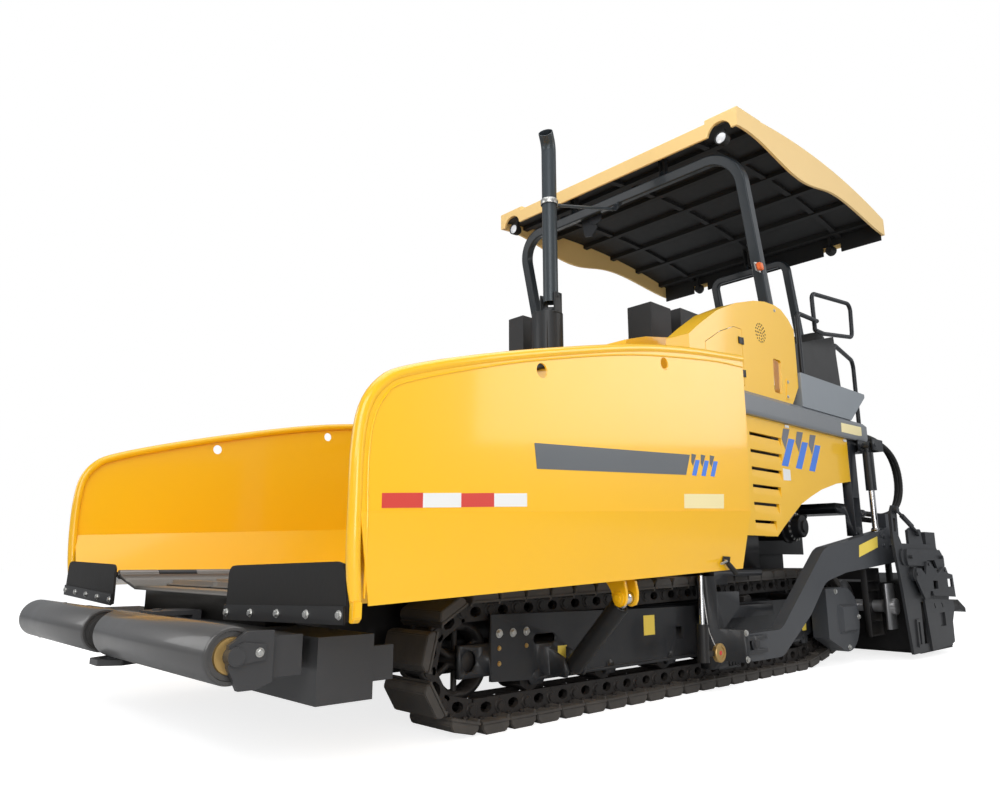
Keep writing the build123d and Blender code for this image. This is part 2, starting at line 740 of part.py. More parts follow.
# Service door in the cowl's outer face, hinged at its rear edge
door = extrude(Plane.XZ.offset(-side_y) * offset(Polygon(*door_points, align=None), amount=-door_gap),
               amount=cowl_sheet - 2, dir=(0, -1, 0))
door_pin = 5.5
door_hinge_y = side_y + door_pin + fit
for z in (1970.0, 2198.0):
    door += block((door_hinge_x, door_hinge_x + 45), (side_y - 3, side_y + 5), (z - 22, z + 22))
    door += bar((door_hinge_x, door_hinge_y, z - 22), (door_hinge_x, door_hinge_y, z + 22), door_pin)
parts["cowl_door_left"] = door
parts["cowl_door_right"] = mirrored(door)

# Hood over the engine, between the cowls
hood_outline = [
    (452, deck_z + fit),
    (452, 2120),
    (262, 2120),
    (240, 2260),
    (0, 2330),
    (-400, 2400),
    (-900, 2420),
    (-950, 2400),
    (-950, deck_z + fit),
]
hood = side_plate(hood_outline, -hood_half, hood_half)
hood -= side_plate([(422, deck_z - 20), (422, 2100), (240, 2100), (216, 2235), (0, 2300), (-400, 2370),
                    (-890, 2390), (-920, 2370), (-920, deck_z - 20)], -hood_half + 30, hood_half - 30)
hood += both(flat_plate([(452, hood_half), (452, side_y - cowl_depth - fit),
                         (-950, side_y - cowl_depth - fit), (-950, hood_half)], deck_z + 60, deck_z + 80))
parts["hood"] = hood


def hood_top(x):
    """Height of the hood's upper face behind its front shelf."""
    corners = [(-900, 2420), (-400, 2400), (0, 2330), (240, 2260)]
    for (x_low, z_low), (x_high, z_high) in zip(corners, corners[1:]):
        if x <= x_high:
            return z_low + (x - x_low) / (x_high - x_low) * (z_high - z_low)
    return 2120.0


# Muffler and intake box on the hood's front shelf
muffler_x = 392.0
muffler_y = -50.0
muffler = bar((muffler_x, muffler_y, 2120 + fit), (muffler_x, muffler_y, 2550), 118)
muffler += bar((exhaust_x, 0, 2540), (exhaust_x, 0, exhaust_pivot_z - 85), exhaust_radius)
muffler += both(block((exhaust_x - 40, exhaust_x + 40), (64, 76),
                      (exhaust_pivot_z - 110, exhaust_pivot_z + 30)))
muffler += block((exhaust_x - 40, exhaust_x + 40), (-76, 76), (exhaust_pivot_z - 125, exhaust_pivot_z - 108))
muffler += across(exhaust_x, exhaust_pivot_z, 12, -84, 84)
parts["muffler"] = muffler

# Exhaust pipe, hinged on the muffler so that it folds forward with the canopy
pipe_base = exhaust_pivot_z - 35
tip_path = FilletPolyline((exhaust_x, 0, pipe_base), (exhaust_x, 0, exhaust_top - 60),
                          (exhaust_x + 80, 45, exhaust_top + 5), radius=110)
tip_start = Plane(tip_path @ 0, z_dir=tip_path % 0)
pipe = sweep(tip_start * Circle(exhaust_radius), path=tip_path)
pipe -= sweep(tip_start * Circle(exhaust_radius - 6), path=tip_path)
pipe -= across(exhaust_x, exhaust_pivot_z, 12.5, -90, 90)
ring = bar((exhaust_x, 0, stay_z - 16), (exhaust_x, 0, stay_z + 16), exhaust_radius + 6)
ring -= bar((exhaust_x, 0, stay_z - 20), (exhaust_x, 0, stay_z + 20), exhaust_radius - 2)
pipe += ring
pipe += block((exhaust_x - 100, exhaust_x - 55), (-6, 6), (stay_z - 14, stay_z + 14))
parts["exhaust_pipe"] = pipe

# Stay rod from the pipe's clamp ring to the front arch
stay_eye_x = -350.0
stay_eye_z = 3630.0
stay_foot_x = exhaust_x - 88.0
stay_y = 22.0
stay = bar((stay_foot_x, stay_y, stay_z), (stay_eye_x, stay_y, stay_eye_z), stay_radius)
stay += across(stay_foot_x, stay_z, 16, 6.5, stay_y + 10)
stay += across(stay_eye_x, stay_eye_z, 16, stay_y - 10, stay_y + 10)
parts["exhaust_stay"] = stay

# Intake box and ribbed boxes on the hood
boxes = block((320, 440), (-420, -260), (2120 + fit, 2590))
for x_low, x_high, top in ((-390, -130, 2640), (-850, -520, 2680)):
    base = [(x_low, hood_top(x_low) + fit), (x_high, hood_top(x_high) + fit), (x_high, top), (x_low, top)]
    boxes += side_plate(base, 300, 520)
parts["hood_boxes"] = boxes

# Step boxes, consoles and seats on the platform
step_outline = [(-990, deck_z + fit), (-990, 2110), (-2140, 2110), (-2140, 2080), (-1830, deck_z + fit)]
parts["step_boxes"] = both(side_plate(step_outline, side_y - 160, side_y + 20))
console = side_plate([(-1075, 2110 + fit), (-1075, 2364), (-1925, 2600), (-1990, 2110 + fit)],
                     side_y - 140, side_y - 100)
parts["consoles"] = both(console)
seat = block((-2350, -1900), (465, 845), (2170, 2290))
seat += block((-2400, -2290), (465, 845), (2230, 2800))
seat += block((-2250, -2000), (560, 750), (deck_z + fit, 2171))
parts["seats"] = both(seat)

# Handrails
loop = round_tube([(-1350, side_y, 2517), (-1340, side_y, 2820), (-2080, side_y, 2900), (-2060, side_y, 2600),
                   (-1500, side_y, 2517), (-1352, side_y, 2517)], 17, 60)
post = round_tube([(-1055, side_y + 5, 2110.5), (-1045, side_y + 5, 2590), (-1400, side_y, 2600)], 17, 50)
rails = Part() + [loop, post]
rear_rail = round_tube([(-2130, 1000, deck_z + fit), (-2130, 1000, 2600), (-2880, 860, 2600),
                        (-2880, 860, deck_z + fit)], 19, 90)
rails += rear_rail
parts["handrails"] = both(rails)

# Canopy pivots: front and rear arch make a parallelogram with the canopy
pivot_rise = arch_tube / 2 + 25
arch_pivot_z = arch_top_z + pivot_rise
arch_shift_x = arch_top_x - arch_base_x
arch_shift_z = arch_pivot_z - arch_base_z
rear_pivot_z = 3745.0
rear_arch_top_z = rear_pivot_z - rear_arch_tube / 2 - 40
rear_base_x = rear_arch_top_x - arch_shift_x
rear_base_z = rear_pivot_z - arch_shift_z

# Posts on the deck that carry the rear arch
post_inner = rear_arch_half + rear_arch_tube / 2 + clear
rear_post = block((rear_base_x - 30, rear_base_x + 30), (post_inner, post_inner + 50),
                  (deck_z - 1, rear_base_z + 50))
rear_post += across(rear_base_x, rear_base_z, 14, rear_arch_half - 50, post_inner + 1)
deck += both(rear_post)
parts["platform_deck"] = deck


def arch(base_x, base_z, top_x, top_z, half, tube, bend):
    """An inverted U of square tube with rounded top corners."""
    lean_x = (top_x - base_x) / (top_z - base_z)
    tail = 45.0
    foot_x = base_x - tail * lean_x
    path = FilletPolyline((foot_x, half, base_z - tail), (top_x, half, top_z), (top_x, -half, top_z),
                          (foot_x, -half, base_z - tail), radius=bend)
    start = Plane(path @ 0, x_dir=(0, 1, 0), z_dir=path % 0)
    return sweep(start * RectangleRounded(tube, tube, 12), path=path)


def pivot_lug(x, z, y_low, y_high, drop=45.0):
    """A lug that stands up from an arch to its pivot on the canopy."""
    return side_plate([(x - 26, z - drop), (x - 26, z + 4), (x - 12, z + 20), (x + 12, z + 20),
                       (x + 26, z + 4), (x + 26, z - drop)], y_low, y_high)


# Front arch, hinged at the cowls and carrying the canopy on two lugs
front_arch = arch(arch_base_x, arch_base_z, arch_top_x, arch_top_z, arch_half, arch_tube, 250)
for side in (-1, 1):
    middle = side * 480
    front_arch += pivot_lug(arch_top_x, arch_pivot_z, middle - 10, middle + 10)
front_arch += across(arch_top_x, arch_pivot_z, 10, 440, 520)
front_arch += across(arch_top_x, arch_pivot_z, 10, -520, -440)
front_arch -= across(arch_base_x, arch_base_z, 14.5, -1300, 1300)
front_arch += side_plate([(stay_eye_x - 20, stay_eye_z - 15), (arch_top_x - 20, arch_top_z - 30),
                          (arch_top_x + 30, arch_top_z - 30), (stay_eye_x + 15, stay_eye_z + 20),
                          (stay_eye_x + 15, stay_eye_z - 15)], stay_y + 16, stay_y + 26)
parts["front_arch"] = front_arch
rear_arch = arch(rear_base_x, rear_base_z, rear_arch_top_x, rear_arch_top_z, rear_arch_half,
                 rear_arch_tube, 90)
rear_arch += pivot_lug(rear_arch_top_x, rear_pivot_z, -10, 10)
rear_arch += across(rear_arch_top_x, rear_pivot_z, 10, -34, 34)
rear_arch -= across(rear_base_x, rear_base_z, 14.5, -700, 700)
parts["rear_arch"] = rear_arch

# Canopy: a shell arched from front to rear, with hanging side walls and a black lining
canopy_middle = (canopy_front + canopy_rear) / 2
canopy_chord = (canopy_front - canopy_rear) / 2
canopy_rise = canopy_apex - canopy_edge
canopy_curve = (canopy_chord ** 2 + canopy_rise ** 2) / (2 * canopy_rise)
wall_sheet = 25.0


def canopy_height(x, drop):
    """Height of the canopy's arc at a place along the machine, lowered by drop."""
    return canopy_apex - drop - canopy_curve + (canopy_curve ** 2 - (x - canopy_middle) ** 2) ** 0.5


def canopy_arc(inset, drop):
    """The canopy's arc from front to rear, drawn in at both ends and lowered."""
    front = (canopy_front - inset, canopy_height(canopy_front - inset, drop))
    rear = (canopy_rear + inset, canopy_height(canopy_rear + inset, drop))
    return ThreePointArc(front, (canopy_middle, canopy_apex - drop), rear)


def canopy_slab(inset, drop, low_edges, half):
    """A solid under the canopy's arc, closed by the given lower edges."""
    outline = make_face(Curve() + [canopy_arc(inset, drop)] + low_edges)
    return extrude(Plane.XZ.offset(-half) * outline, amount=2 * half, dir=(0, -1, 0))


def band_edges(inset, drop, low):
    """Straight lower edges at a distance below the canopy's arc ends."""
    front = (canopy_front - inset, canopy_height(canopy_front - inset, drop))
    rear = (canopy_rear + inset, canopy_height(canopy_rear + inset, drop))
    front_low = (front[0], front[1] - low)
    rear_low = (rear[0], rear[1] - low)
    return [Line(rear, rear_low), Line(rear_low, front_low), Line(front_low, front)]


wall_front_z = canopy_edge - 120
wall_rear_z = canopy_edge - 165
wall_edges = [
    Line((canopy_rear, canopy_edge), (canopy_rear, wall_rear_z)),
    Spline((canopy_rear, wall_rear_z), (-2419, canopy_edge - 130), (-2038, canopy_edge - 105),
           (-1775, canopy_edge - 121), (-1349, canopy_edge - 198), (-1059, canopy_edge - 192),
           (-693, canopy_edge - 129), (canopy_front, wall_front_z)),
    Line((canopy_front, wall_front_z), (canopy_front, canopy_edge)),
]
shell = canopy_slab(0, 0, wall_edges, canopy_half)
shell -= canopy_slab(wall_sheet, canopy_skin, band_edges(wall_sheet, canopy_skin, 400),
                     canopy_half - wall_sheet)

# Raised front corners with an arched opening for each lamp
lamp_y = 1100.0
lamp_z = canopy_edge - 152
corner_rear = -620.0
for side in (-1, 1):
    outer = side * canopy_half
    inner = side * 985.0
    corner = [(canopy_front, canopy_edge - 60), (canopy_front, canopy_edge + 28),
              (canopy_front - 18, canopy_edge + 40), (corner_rear, canopy_height(corner_rear, 0) + 6),
              (corner_rear, canopy_edge - 20)]
    raised = side_plate(corner, min(inner, outer), max(inner, outer))
    raised -= canopy_slab(wall_sheet, canopy_skin, band_edges(wall_sheet, canopy_skin, 400),
                          canopy_half - wall_sheet)
    shell += raised
    opening_z = wall_front_z - 8
    shell -= bar((canopy_front - 60, side * lamp_y, opening_z),
                 (canopy_front + 10, side * lamp_y, opening_z), 98)
parts["canopy"] = shell

# Lining: a thin black sheet under the shell with cross ribs, long ribs and the pivot ears
lining_inset = wall_sheet + fit
lining_drop = canopy_skin + fit
lining_half = canopy_half - lining_inset
lining = canopy_slab(lining_inset, lining_drop, band_edges(lining_inset, lining_drop, 400), lining_half)
under_drop = lining_drop + lining_sheet
lining -= canopy_slab(0, under_drop, band_edges(0, under_drop, 500), canopy_half)
rib_xs = (-560.0, -1010.0, -1460.0, -1910.0, -2360.0, -2800.0)
rib_depth = 38.0
for x in rib_xs:
    top = canopy_height(x, under_drop)
    lining += block((x - 28, x + 28), (-lining_half, lining_half), (top - rib_depth, top + 6))
rib_inset = lining_inset + 20
rib_band = canopy_slab(rib_inset, under_drop - 4, band_edges(rib_inset, under_drop - 4, 200), 25)
rib_band -= canopy_slab(0, under_drop + 30, band_edges(0, under_drop + 30, 400), 30)
for y in (-840.0, 0.0, 840.0):
    lining += Pos(0, y, 0) * rib_band
# Rear valance with two notches for the rear lamps
rear_lamp_y = 755.0
rear_lamp_z = canopy_edge - 190
valance_x = canopy_rear + lining_inset
valance_top = canopy_height(valance_x, under_drop)
valance = block((valance_x, valance_x + 16), (-lining_half, lining_half),
                (canopy_edge - 215, valance_top + 4))
valance -= both(block((valance_x - 5, valance_x + 30), (rear_lamp_y - 90, rear_lamp_y + 90),
                      (canopy_edge - 220, rear_lamp_z + 62)))
lining += valance
ear_reach = 14.0
for middle in (-480, 480):
    for side in (-1, 1):
        low = middle + side * 22 - 6
        top = canopy_height(arch_top_x, under_drop) + 5
        lining += side_plate([(arch_top_x - 34, top), (arch_top_x - 14, arch_pivot_z - ear_reach),
                              (arch_top_x + 14, arch_pivot_z - ear_reach), (arch_top_x + 34, top)],
                             low, low + 12)
lining -= across(arch_top_x, arch_pivot_z, 10.5, -600, 600)
for side in (-1, 1):
    low = side * 24 - 6
    top = canopy_height(rear_arch_top_x, under_drop) + 5
    lining += side_plate([(rear_arch_top_x - 44, top), (rear_arch_top_x - 18, rear_pivot_z - 22),
                          (rear_arch_top_x + 18, rear_pivot_z - 22), (rear_arch_top_x + 44, top)],
                         low, low + 12)
lining -= across(rear_arch_top_x, rear_pivot_z, 12, -60, 60)
parts["canopy_lining"] = lining

# Lamps on short stems under the lining
lamp = bar((canopy_front - 100, lamp_y, lamp_z), (canopy_front - 20, lamp_y, lamp_z), 50)
lamp += block((canopy_front - 90, canopy_front - 60), (lamp_y - 12, lamp_y + 12),
              (lamp_z + 45, canopy_height(canopy_front - 60, under_drop) - fit))
rear_lamp = bar((valance_x + 22, rear_lamp_y, rear_lamp_z), (valance_x + 90, rear_lamp_y, rear_lamp_z), 50)
rear_lamp += block((valance_x + 40, valance_x + 70), (rear_lamp_y - 12, rear_lamp_y + 12),
                   (rear_lamp_z + 45, canopy_height(valance_x + 40, under_drop) - fit))
parts["canopy_lamps"] = both(Part() + [lamp, rear_lamp])

# Drive guards: round-backed plates outside the sprockets
guard_x = -1385.0
guard_z = 325.0
guard_radius = 225.0
guard_front = -1080.0
guard_face = 1225.0
guard_inner = track_middle + shoe_width / 2 + 8
guard = across(guard_x, guard_z, guard_radius, guard_inner, guard_face)
guard += side_plate([(guard_x, guard_z + guard_radius), (guard_front, guard_z + guard_radius - 6),
                     (guard_front, guard_z - 120), (guard_x + 60, guard_z - guard_radius + 9),
                     (guard_x - 20, guard_z)], guard_inner, guard_face)
boss_faces = [
    Plane.XZ.offset(-guard_face + 1) * Pos(guard_x, guard_z + 7) * Rectangle(264, 206),
    Plane.XZ.offset(-guard_face - 25) * Pos(guard_x - 8, guard_z + 7) * Rectangle(214, 166),
]
guard += loft(boss_faces, ruled=True)
guard += block((guard_x - 60, guard_x + 60), (track_middle + 100 + fit, guard_inner + 1),
               (guard_z - 30, guard_z + 120))
parts["drive_guards"] = both(guard)

# Tow points: an upright guide beside the track with a block and a fork for the arm's pivot
guide = block((290, 380), (1120, 1195), (130, 650))
guide += side_plate([(300, 350), (300, 560), (30, 556), (30, 470), (210, 350)], 1170, 1190)
guide += block((-420, 300), (track_plate_y + 14 + fit, 1171), (400, 470))
guide += block((-270, 300), (1120, 1190), (648, 684))
guide += block((150, 300), (1120, 1190), (600, 650))
guide += block((tow_x - 60, 300), (1160, 1190), (200, 340))
guide += block((240, 300), (1180, tow_arm_outer + 20), (175, 350))
for low in (215.0, 290.0):
    guide += block((30, 245), (tow_arm_outer + 8, tow_arm_outer + 20), (low, low + 22))
guide += across(tow_x, tow_z, 44, tow_arm_outer + 8, tow_arm_outer + 20)
guide += across(tow_x, tow_z, 25, 1180, tow_arm_outer + 26)
rack = block((60, 300), (1170, 1190), (120, 176))
for index in range(4):
    rack -= block((75 + index * 34, 95 + index * 34), (1160, 1200), (134, 164))
guide += rack
parts["tow_guides"] = both(guide)

# Tow arms, from the tow points up and back to the screed
arm_end_x = -2242.0
arm_outline = [
    (tow_x + 62, 205),
    (tow_x + 62, 325),
    (-195, 329),
    (-872, 826),
    (lift_x, 968),
    (-2010, 998),
    (arm_end_x, 1009),
    (arm_end_x + 20, 737),
    (-1192, 659),
    (-850, 600),
    (-600, 398),
    (-190, 170),
    (tow_x + 20, 170),
]
arm_radii = (35, 35, 160, 260, 120, 90, 12, 12, 300, 260, 260, 170, 60)
arm = curved_plate(arm_outline, arm_radii, tow_arm_inner, tow_arm_outer)
arm -= across(tow_x, tow_z, 25.5, 1200, 1400)
# Pocket for the lift rod's eye in the arm's upper edge
pocket_half = 27.0
arm -= block((lift_x - 76, lift_x + 76), (lift_y - pocket_half, lift_y + pocket_half), (895, 1020))
for y_low in (tow_arm_inner - 8, tow_arm_outer - 1):
    arm += across(lift_x, lift_eye_z - 24, 20, y_low, y_low + 9)
arm += block((arm_end_x, -2020), (tow_arm_inner, tow_arm_outer - 8), (990, 1105))
parts["tow_arms"] = both(arm)

# Screed: bottom plate, front mouldboard, body and cover
screed_profile = [
    (screed_front, screed_bottom + 30),
    (screed_front + 20, 250),
    (screed_front + 35, screed_top),
    (-2420, screed_top + 80),
    (-2700, 600),
    (screed_rear, 420),
    (screed_rear, screed_bottom),
    (screed_front - 40, screed_bottom),
]
screed = side_plate(screed_profile, -screed_half, screed_half)
screed += both(block((-2232, -2150), (1240, tow_arm_inner - fit), (500, 900)))
parts["screed_body"] = screed
# End plates in layers: shield, upper slider, lower slider and edger, with their slots and windows
shield_y = screed_half + fit
end = side_plate([(-1985, 50), (-1893, 550), (-1850, 700), (-1812, 880), (-1812, 1095), (-1868, 1160),
                  (-1905, 1160), (-1935, 1090), (-1925, 930), (-1970, 872), (-2120, 872), (-2120, 975),
                  (-2200, 1000), (-2400, 960), (-2430, 872), (-2700, 872), (-2890, 640), (-2890, 440),
                  (-2830, 300), (-2850, 60)], shield_y, shield_y + 20)
end -= side_plate([(-1845, 960), (-1845, 1060), (-1895, 1060), (-1880, 960)], shield_y - 5, shield_y + 25)
end -= block((-2325, -2225), (shield_y - 5, shield_y + 25), (110, 425))
end += block((-2160, -2075), (shield_y + 19, shield_y + 32), (96, 300))
end -= block((-2136, -2099), (shield_y + 8, shield_y + 40), (116, 280))
end += across(-1965, 770, 64, shield_y + 19, shield_y + 32)
end += across(-2105, 640, 52, shield_y + 19, shield_y + 50)
upper = curved_plate([(-1985, 705), (-1962, 770), (-1985, 829), (-2705, 829), (-2790, 765), (-2790, 690),
                      (-2620, 665), (-2560, 745), (-2405, 745), (-2340, 700)],
                     (20, 60, 20, 12, 20, 20, 8, 8, 8, 8), shield_y + 31, shield_y + 47)
end += upper
lower = side_plate([(-2080, 600), (-2104, 684), (-2200, 684), (-2290, 632), (-2335, 735), (-2400, 735),
                    (-2560, 640), (-2700, 690), (-2760, 690), (-2800, 640), (-2905, 627), (-2927, 445),
                    (-2418, 470), (-2400, 505), (-2350, 505), (-2330, 460), (-2222, 446)],
                   shield_y + 46, shield_y + 62)
for x, z in ((-2483, 552), (-2823, 562)):
    lower -= block((x - 52, x + 52), (shield_y + 40, shield_y + 70), (z - 32, z + 32))
end += lower
end += block((-2600, -2540), (shield_y + 31, shield_y + 47), (600, 680))
edger = side_plate([(-2273, 452), (-2930, 420), (-2956, 368), (-2870, 250), (-2860, 90), (-2766, 67),
                    (-2338, 52)], shield_y + 19, shield_y + 36)
edger -= block((-2697, -2574), (shield_y + 10, shield_y + 50), (224, 329))
for x in (-2480.0, -2650.0):
    for index in range(3):
        edger -= across(x - 8 * index, 400 - 12 * index, 9, shield_y + 10, shield_y + 50)
end += edger
for x, z in ((-2105, 640), (-2375, 715), (-2730, 665), (-2030, 770), (-2700, 770)):
    end += across(x, z, 13, shield_y + 19, screed_end_half)
# Turnbuckle from the shield's ear down to the slider
link_y = shield_y + 36
end += bar((-1885, link_y, 1125), (-2290, link_y, 960), 11)
end += bar((-1990, link_y, 1082), (-2170, link_y, 1009), 19)
for x, z in ((-1885, 1125), (-2290, 960)):
    end += across(x, z, 28, shield_y + 1, link_y + 14)
end += block((-2778, -2552), (shield_y - 30, shield_y + 1), (850, 974))
parts["screed_ends"] = both(end)
walkway_half = 1420.0
walkway = side_plate([(screed_rear - fit, 290), (screed_rear - fit, 345), (-3000, 402), (-3200, 412),
                      (rear_end, 335), (rear_end, 300), (-3240, 330), (-3000, 320)],
                     -walkway_half, walkway_half)
parts["screed_walkway"] = walkway

# Augers that spread the mix across the screed
auger = across(auger_x, auger_z, auger_shaft, auger_inner, auger_end)
flight_pitch = 270.0
flight_count = 4
blade_sheet = 14.0
for index in range(flight_count):
    y = auger_inner + 60 + index * flight_pitch
    auger += across(auger_x, auger_z, auger_radius, y, y + blade_sheet)
paddle_y = 1300.0
paddle_half = 70.0
paddle_reach = (auger_radius ** 2 - paddle_half ** 2) ** 0.5 - 3
auger += across(auger_x, auger_z, 60, paddle_y, auger_end)
auger += block((auger_x - paddle_half, auger_x + paddle_half), (paddle_y + 20, paddle_y + 50),
               (auger_z - paddle_reach, auger_z + paddle_reach))
auger -= across(auger_x, auger_z, 20, auger_inner - 1, auger_inner + 60)
parts["auger_left"] = auger
parts["auger_right"] = mirrored(auger)

# Auger frame: a cross beam from the middle box to a channel post outside each auger
post_face = 1205.0
beam_low = 600.0
carrier = block((auger_x - 60, auger_x + 60), (-90, 90), (auger_z - 90, 1000))
carrier += across(auger_x, auger_z, 19.5, -auger_inner - 50, auger_inner + 50)
carrier += block((auger_x, hull_rear - fit), (-90, 90), (900, 1040))
carrier += block((auger_x, -1740), (-90, 90), (beam_low, beam_low + 80))
carrier += block((-1800, -1740), (-post_face - 1, post_face + 1), (beam_low, beam_low + 80))
post = block((-1990, -1740), (post_face, post_face + 12), (180, 686))
for x_low in (-1990.0, -1755.0):
    post += block((x_low, x_low + 15), (post_face, post_face + 45), (180, 686))
for z_low in (180.0, 285.0, 510.0, 580.0, 674.0):
    post += block((-1990, -1740), (post_face, post_face + 40), (z_low, z_low + 12))
post -= across(auger_x, auger_z, auger_shaft + 1, 1190, 1300)
carrier += both(post)
parts["auger_carrier"] = carrier

# Lift cylinders from the chassis rear down to the tow arms
lift_barrel = bar((lift_x, lift_y, lift_top_z - 355), (lift_x, lift_y, lift_top_z - 55), 40)
lift_barrel -= bar((lift_x, lift_y, lift_top_z - 360), (lift_x, lift_y, lift_top_z - 63), 23.5)
lift_barrel += bar((lift_x, lift_y, lift_top_z - 57), (lift_x, lift_y, lift_top_z - 20), 24)
lift_barrel += across(lift_x, lift_top_z, 30, lift_y - 28, lift_y + 28)
lift_barrel -= across(lift_x, lift_top_z, 16.5, lift_y - 40, lift_y + 40)
parts["lift_cylinder_left"] = lift_barrel
parts["lift_cylinder_right"] = mirrored(lift_barrel)
lift_rod = bar((lift_x, lift_y, lift_eye_z + 20), (lift_x, lift_y, lift_eye_z + 348), 23)
lift_rod += across(lift_x, lift_eye_z, 34, lift_y - 23, lift_y + 23)
parts["lift_rod_left"] = lift_rod
parts["lift_rod_right"] = mirrored(lift_rod)

# Two corrugated hoses that loop from the left side beam down to the lift post
hose_radius = 21.0
hose_routes = {
    "rear_hose_outer": [(-2105, 1195, 1735), (-2310, 1195, 1735), (-2545, 1195, 1702), (-2715, 1195, 1621),
                        (-2801, 1195, 1500), (-2801, 1195, 1352), (-2706, 1195, 1220), (-2525, 1195, 1140),
                        (-2299, 1195, 1100), (-2110, 1195, 1110), (-1925, 1195, 1110)],
    "rear_hose_inner": [(-2105, 1150, 1775), (-2320, 1150, 1775), (-2565, 1150, 1742), (-2745, 1150, 1650),
                        (-2835, 1150, 1515), (-2835, 1150, 1345), (-2735, 1150, 1200), (-2545, 1150, 1105),
                        (-2310, 1150, 1062), (-2115, 1150, 1068), (-1925, 1150, 1068)],
}


def hose(points):
    """A hose along its route, each corner as round as its two runs allow."""
    radii = []
    for before, here, after in zip(points, points[1:], points[2:]):
        first = Vector(*here) - Vector(*before)
        second = Vector(*after) - Vector(*here)
        turn = radians(first.get_angle(second))
        radii.append(0.45 * min(first.length, second.length) / tan(turn / 2))
    print("hose corner radii", [round(radius) for radius in radii])
    path = FilletPolyline(*points, radius=radii)
    tube = sweep(Plane(path @ 0, z_dir=path % 0) * Circle(hose_radius), path=path)
    print("hose volume", round(tube.volume), "from its length", round(path.length * pi * hose_radius ** 2))
    return tube


for name, points in hose_routes.items():
    parts[name] = hose(points)
    start = points[0]
    end_point = points[-1]
    parts["side_beams"] += bar((beam_rear + 1, start[1], start[2]), (start[0], start[1], start[2]), 30)
    parts["lift_posts"] += bar((post_rear + 1, end_point[1], end_point[2]), end_point, 30)

for name, shape in parts.items():
    export_step(shape, f"parts/{name}.step")
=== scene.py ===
import math

import bmesh
import bpy
from mathutils import Matrix, Vector


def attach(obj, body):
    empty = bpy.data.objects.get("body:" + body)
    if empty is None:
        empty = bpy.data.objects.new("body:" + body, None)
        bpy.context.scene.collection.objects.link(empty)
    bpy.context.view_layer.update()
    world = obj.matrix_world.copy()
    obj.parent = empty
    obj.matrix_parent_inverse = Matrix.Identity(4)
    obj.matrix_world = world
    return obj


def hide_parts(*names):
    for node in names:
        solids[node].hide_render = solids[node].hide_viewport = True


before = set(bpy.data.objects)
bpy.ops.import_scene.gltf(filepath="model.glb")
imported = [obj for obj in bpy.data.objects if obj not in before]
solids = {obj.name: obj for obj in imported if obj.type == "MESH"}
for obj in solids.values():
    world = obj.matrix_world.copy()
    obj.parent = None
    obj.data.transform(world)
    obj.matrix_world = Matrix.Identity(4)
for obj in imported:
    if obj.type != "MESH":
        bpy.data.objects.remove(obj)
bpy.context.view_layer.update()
both_sides = (("left", 1), ("right", -1))


def stand(name, data):
    """A new object in the scene."""
    thing = bpy.data.objects.new(name, data)
    bpy.context.scene.collection.objects.link(thing)
    return thing


def new_nodes(tree, family, *kinds):
    """New nodes of one family in a tree, in the order of their kinds."""
    return [tree.nodes.new(family + kind) for kind in kinds]


def put(node, **values):
    """Sets a node's inputs by name, with an underscore for each space."""
    for label, value in values.items():
        node.inputs[label.replace("_", " ")].default_value = value


def join(tree, *pairs):
    """Links each pair of sockets."""
    for start, end in pairs:
        tree.links.new(start, end)


# Camera: low on the paver's front left, looking up at the canopy, with a wide lens, as a
# salesroom picture of a large machine is taken.
photo_camera = bpy.data.cameras.new("photo_camera")
photo_camera.lens = 27.73
photo_camera.sensor_width = 36.0
photo_camera.clip_end = 200.0
camera_stand = stand("photo_camera", photo_camera)
camera_stand.location = (4.445, 3.751, 0.738)
camera_stand.rotation_euler = (math.radians(90 + 12.31), 0.0, math.radians(136.84))
bpy.context.scene.camera = camera_stand
bpy.context.scene.view_settings.view_transform = "Standard"

# Rear hoses: two corrugated rubber hoses pushed over steel unions, from the side beam down to
# the lift post. They are stiff and hang in one round loop each. All of the machine's finishes
# share the weathering group: slow colour drift, fine grain, and road dust on what faces up.
weathering = bpy.data.node_groups.new("weathering", "ShaderNodeTree")
for label, kind, value in (
    ("Coat", "NodeSocketColor", (0.8, 0.8, 0.8, 1.0)),
    ("Dust Colour", "NodeSocketColor", (0.3, 0.26, 0.2, 1.0)),
    ("Dust", "NodeSocketFloat", 0.2),
    ("Drift", "NodeSocketFloat", 0.08),
    ("Grain Scale", "NodeSocketFloat", 180.0),
    ("Base Roughness", "NodeSocketFloat", 0.35),
):
    socket = weathering.interface.new_socket(label, in_out="INPUT", socket_type=kind)
    socket.default_value = value
for label, kind in (("Colour", "NodeSocketColor"), ("Roughness", "NodeSocketFloat"),
        ("Height", "NodeSocketFloat")):
    weathering.interface.new_socket(label, in_out="OUTPUT", socket_type=kind)
wn = weathering.nodes
wl = weathering.links
given, handed = new_nodes(weathering, "NodeGroup", "Input", "Output")
place, slow, patch, grain, split, low_down, facing, facing_split, upward = new_nodes(weathering, "ShaderNode",
    "TexCoord", "TexNoise", "TexNoise", "TexNoise", "SeparateXYZ", "MapRange", "NewGeometry", "SeparateXYZ",
    "MapRange")
put(slow, Scale=1.7, Detail=4.0)
put(patch, Scale=11.0, Detail=6.0)
put(grain, Detail=2.0)
for texture in (slow, patch, grain):
    wl.new(place.outputs["Object"], texture.inputs["Vector"])
wl.new(given.outputs["Grain Scale"], grain.inputs["Scale"])
wl.new(place.outputs["Object"], split.inputs[0])
put(low_down, From_Min=0.0, From_Max=1.1, To_Min=1.0, To_Max=0.12)
wl.new(split.outputs["Z"], low_down.inputs["Value"])
wl.new(facing.outputs["Normal"], facing_split.inputs[0])
put(upward, From_Min=-0.2, From_Max=1.0, To_Min=0.35, To_Max=1.5)
wl.new(facing_split.outputs["Z"], upward.inputs["Value"])


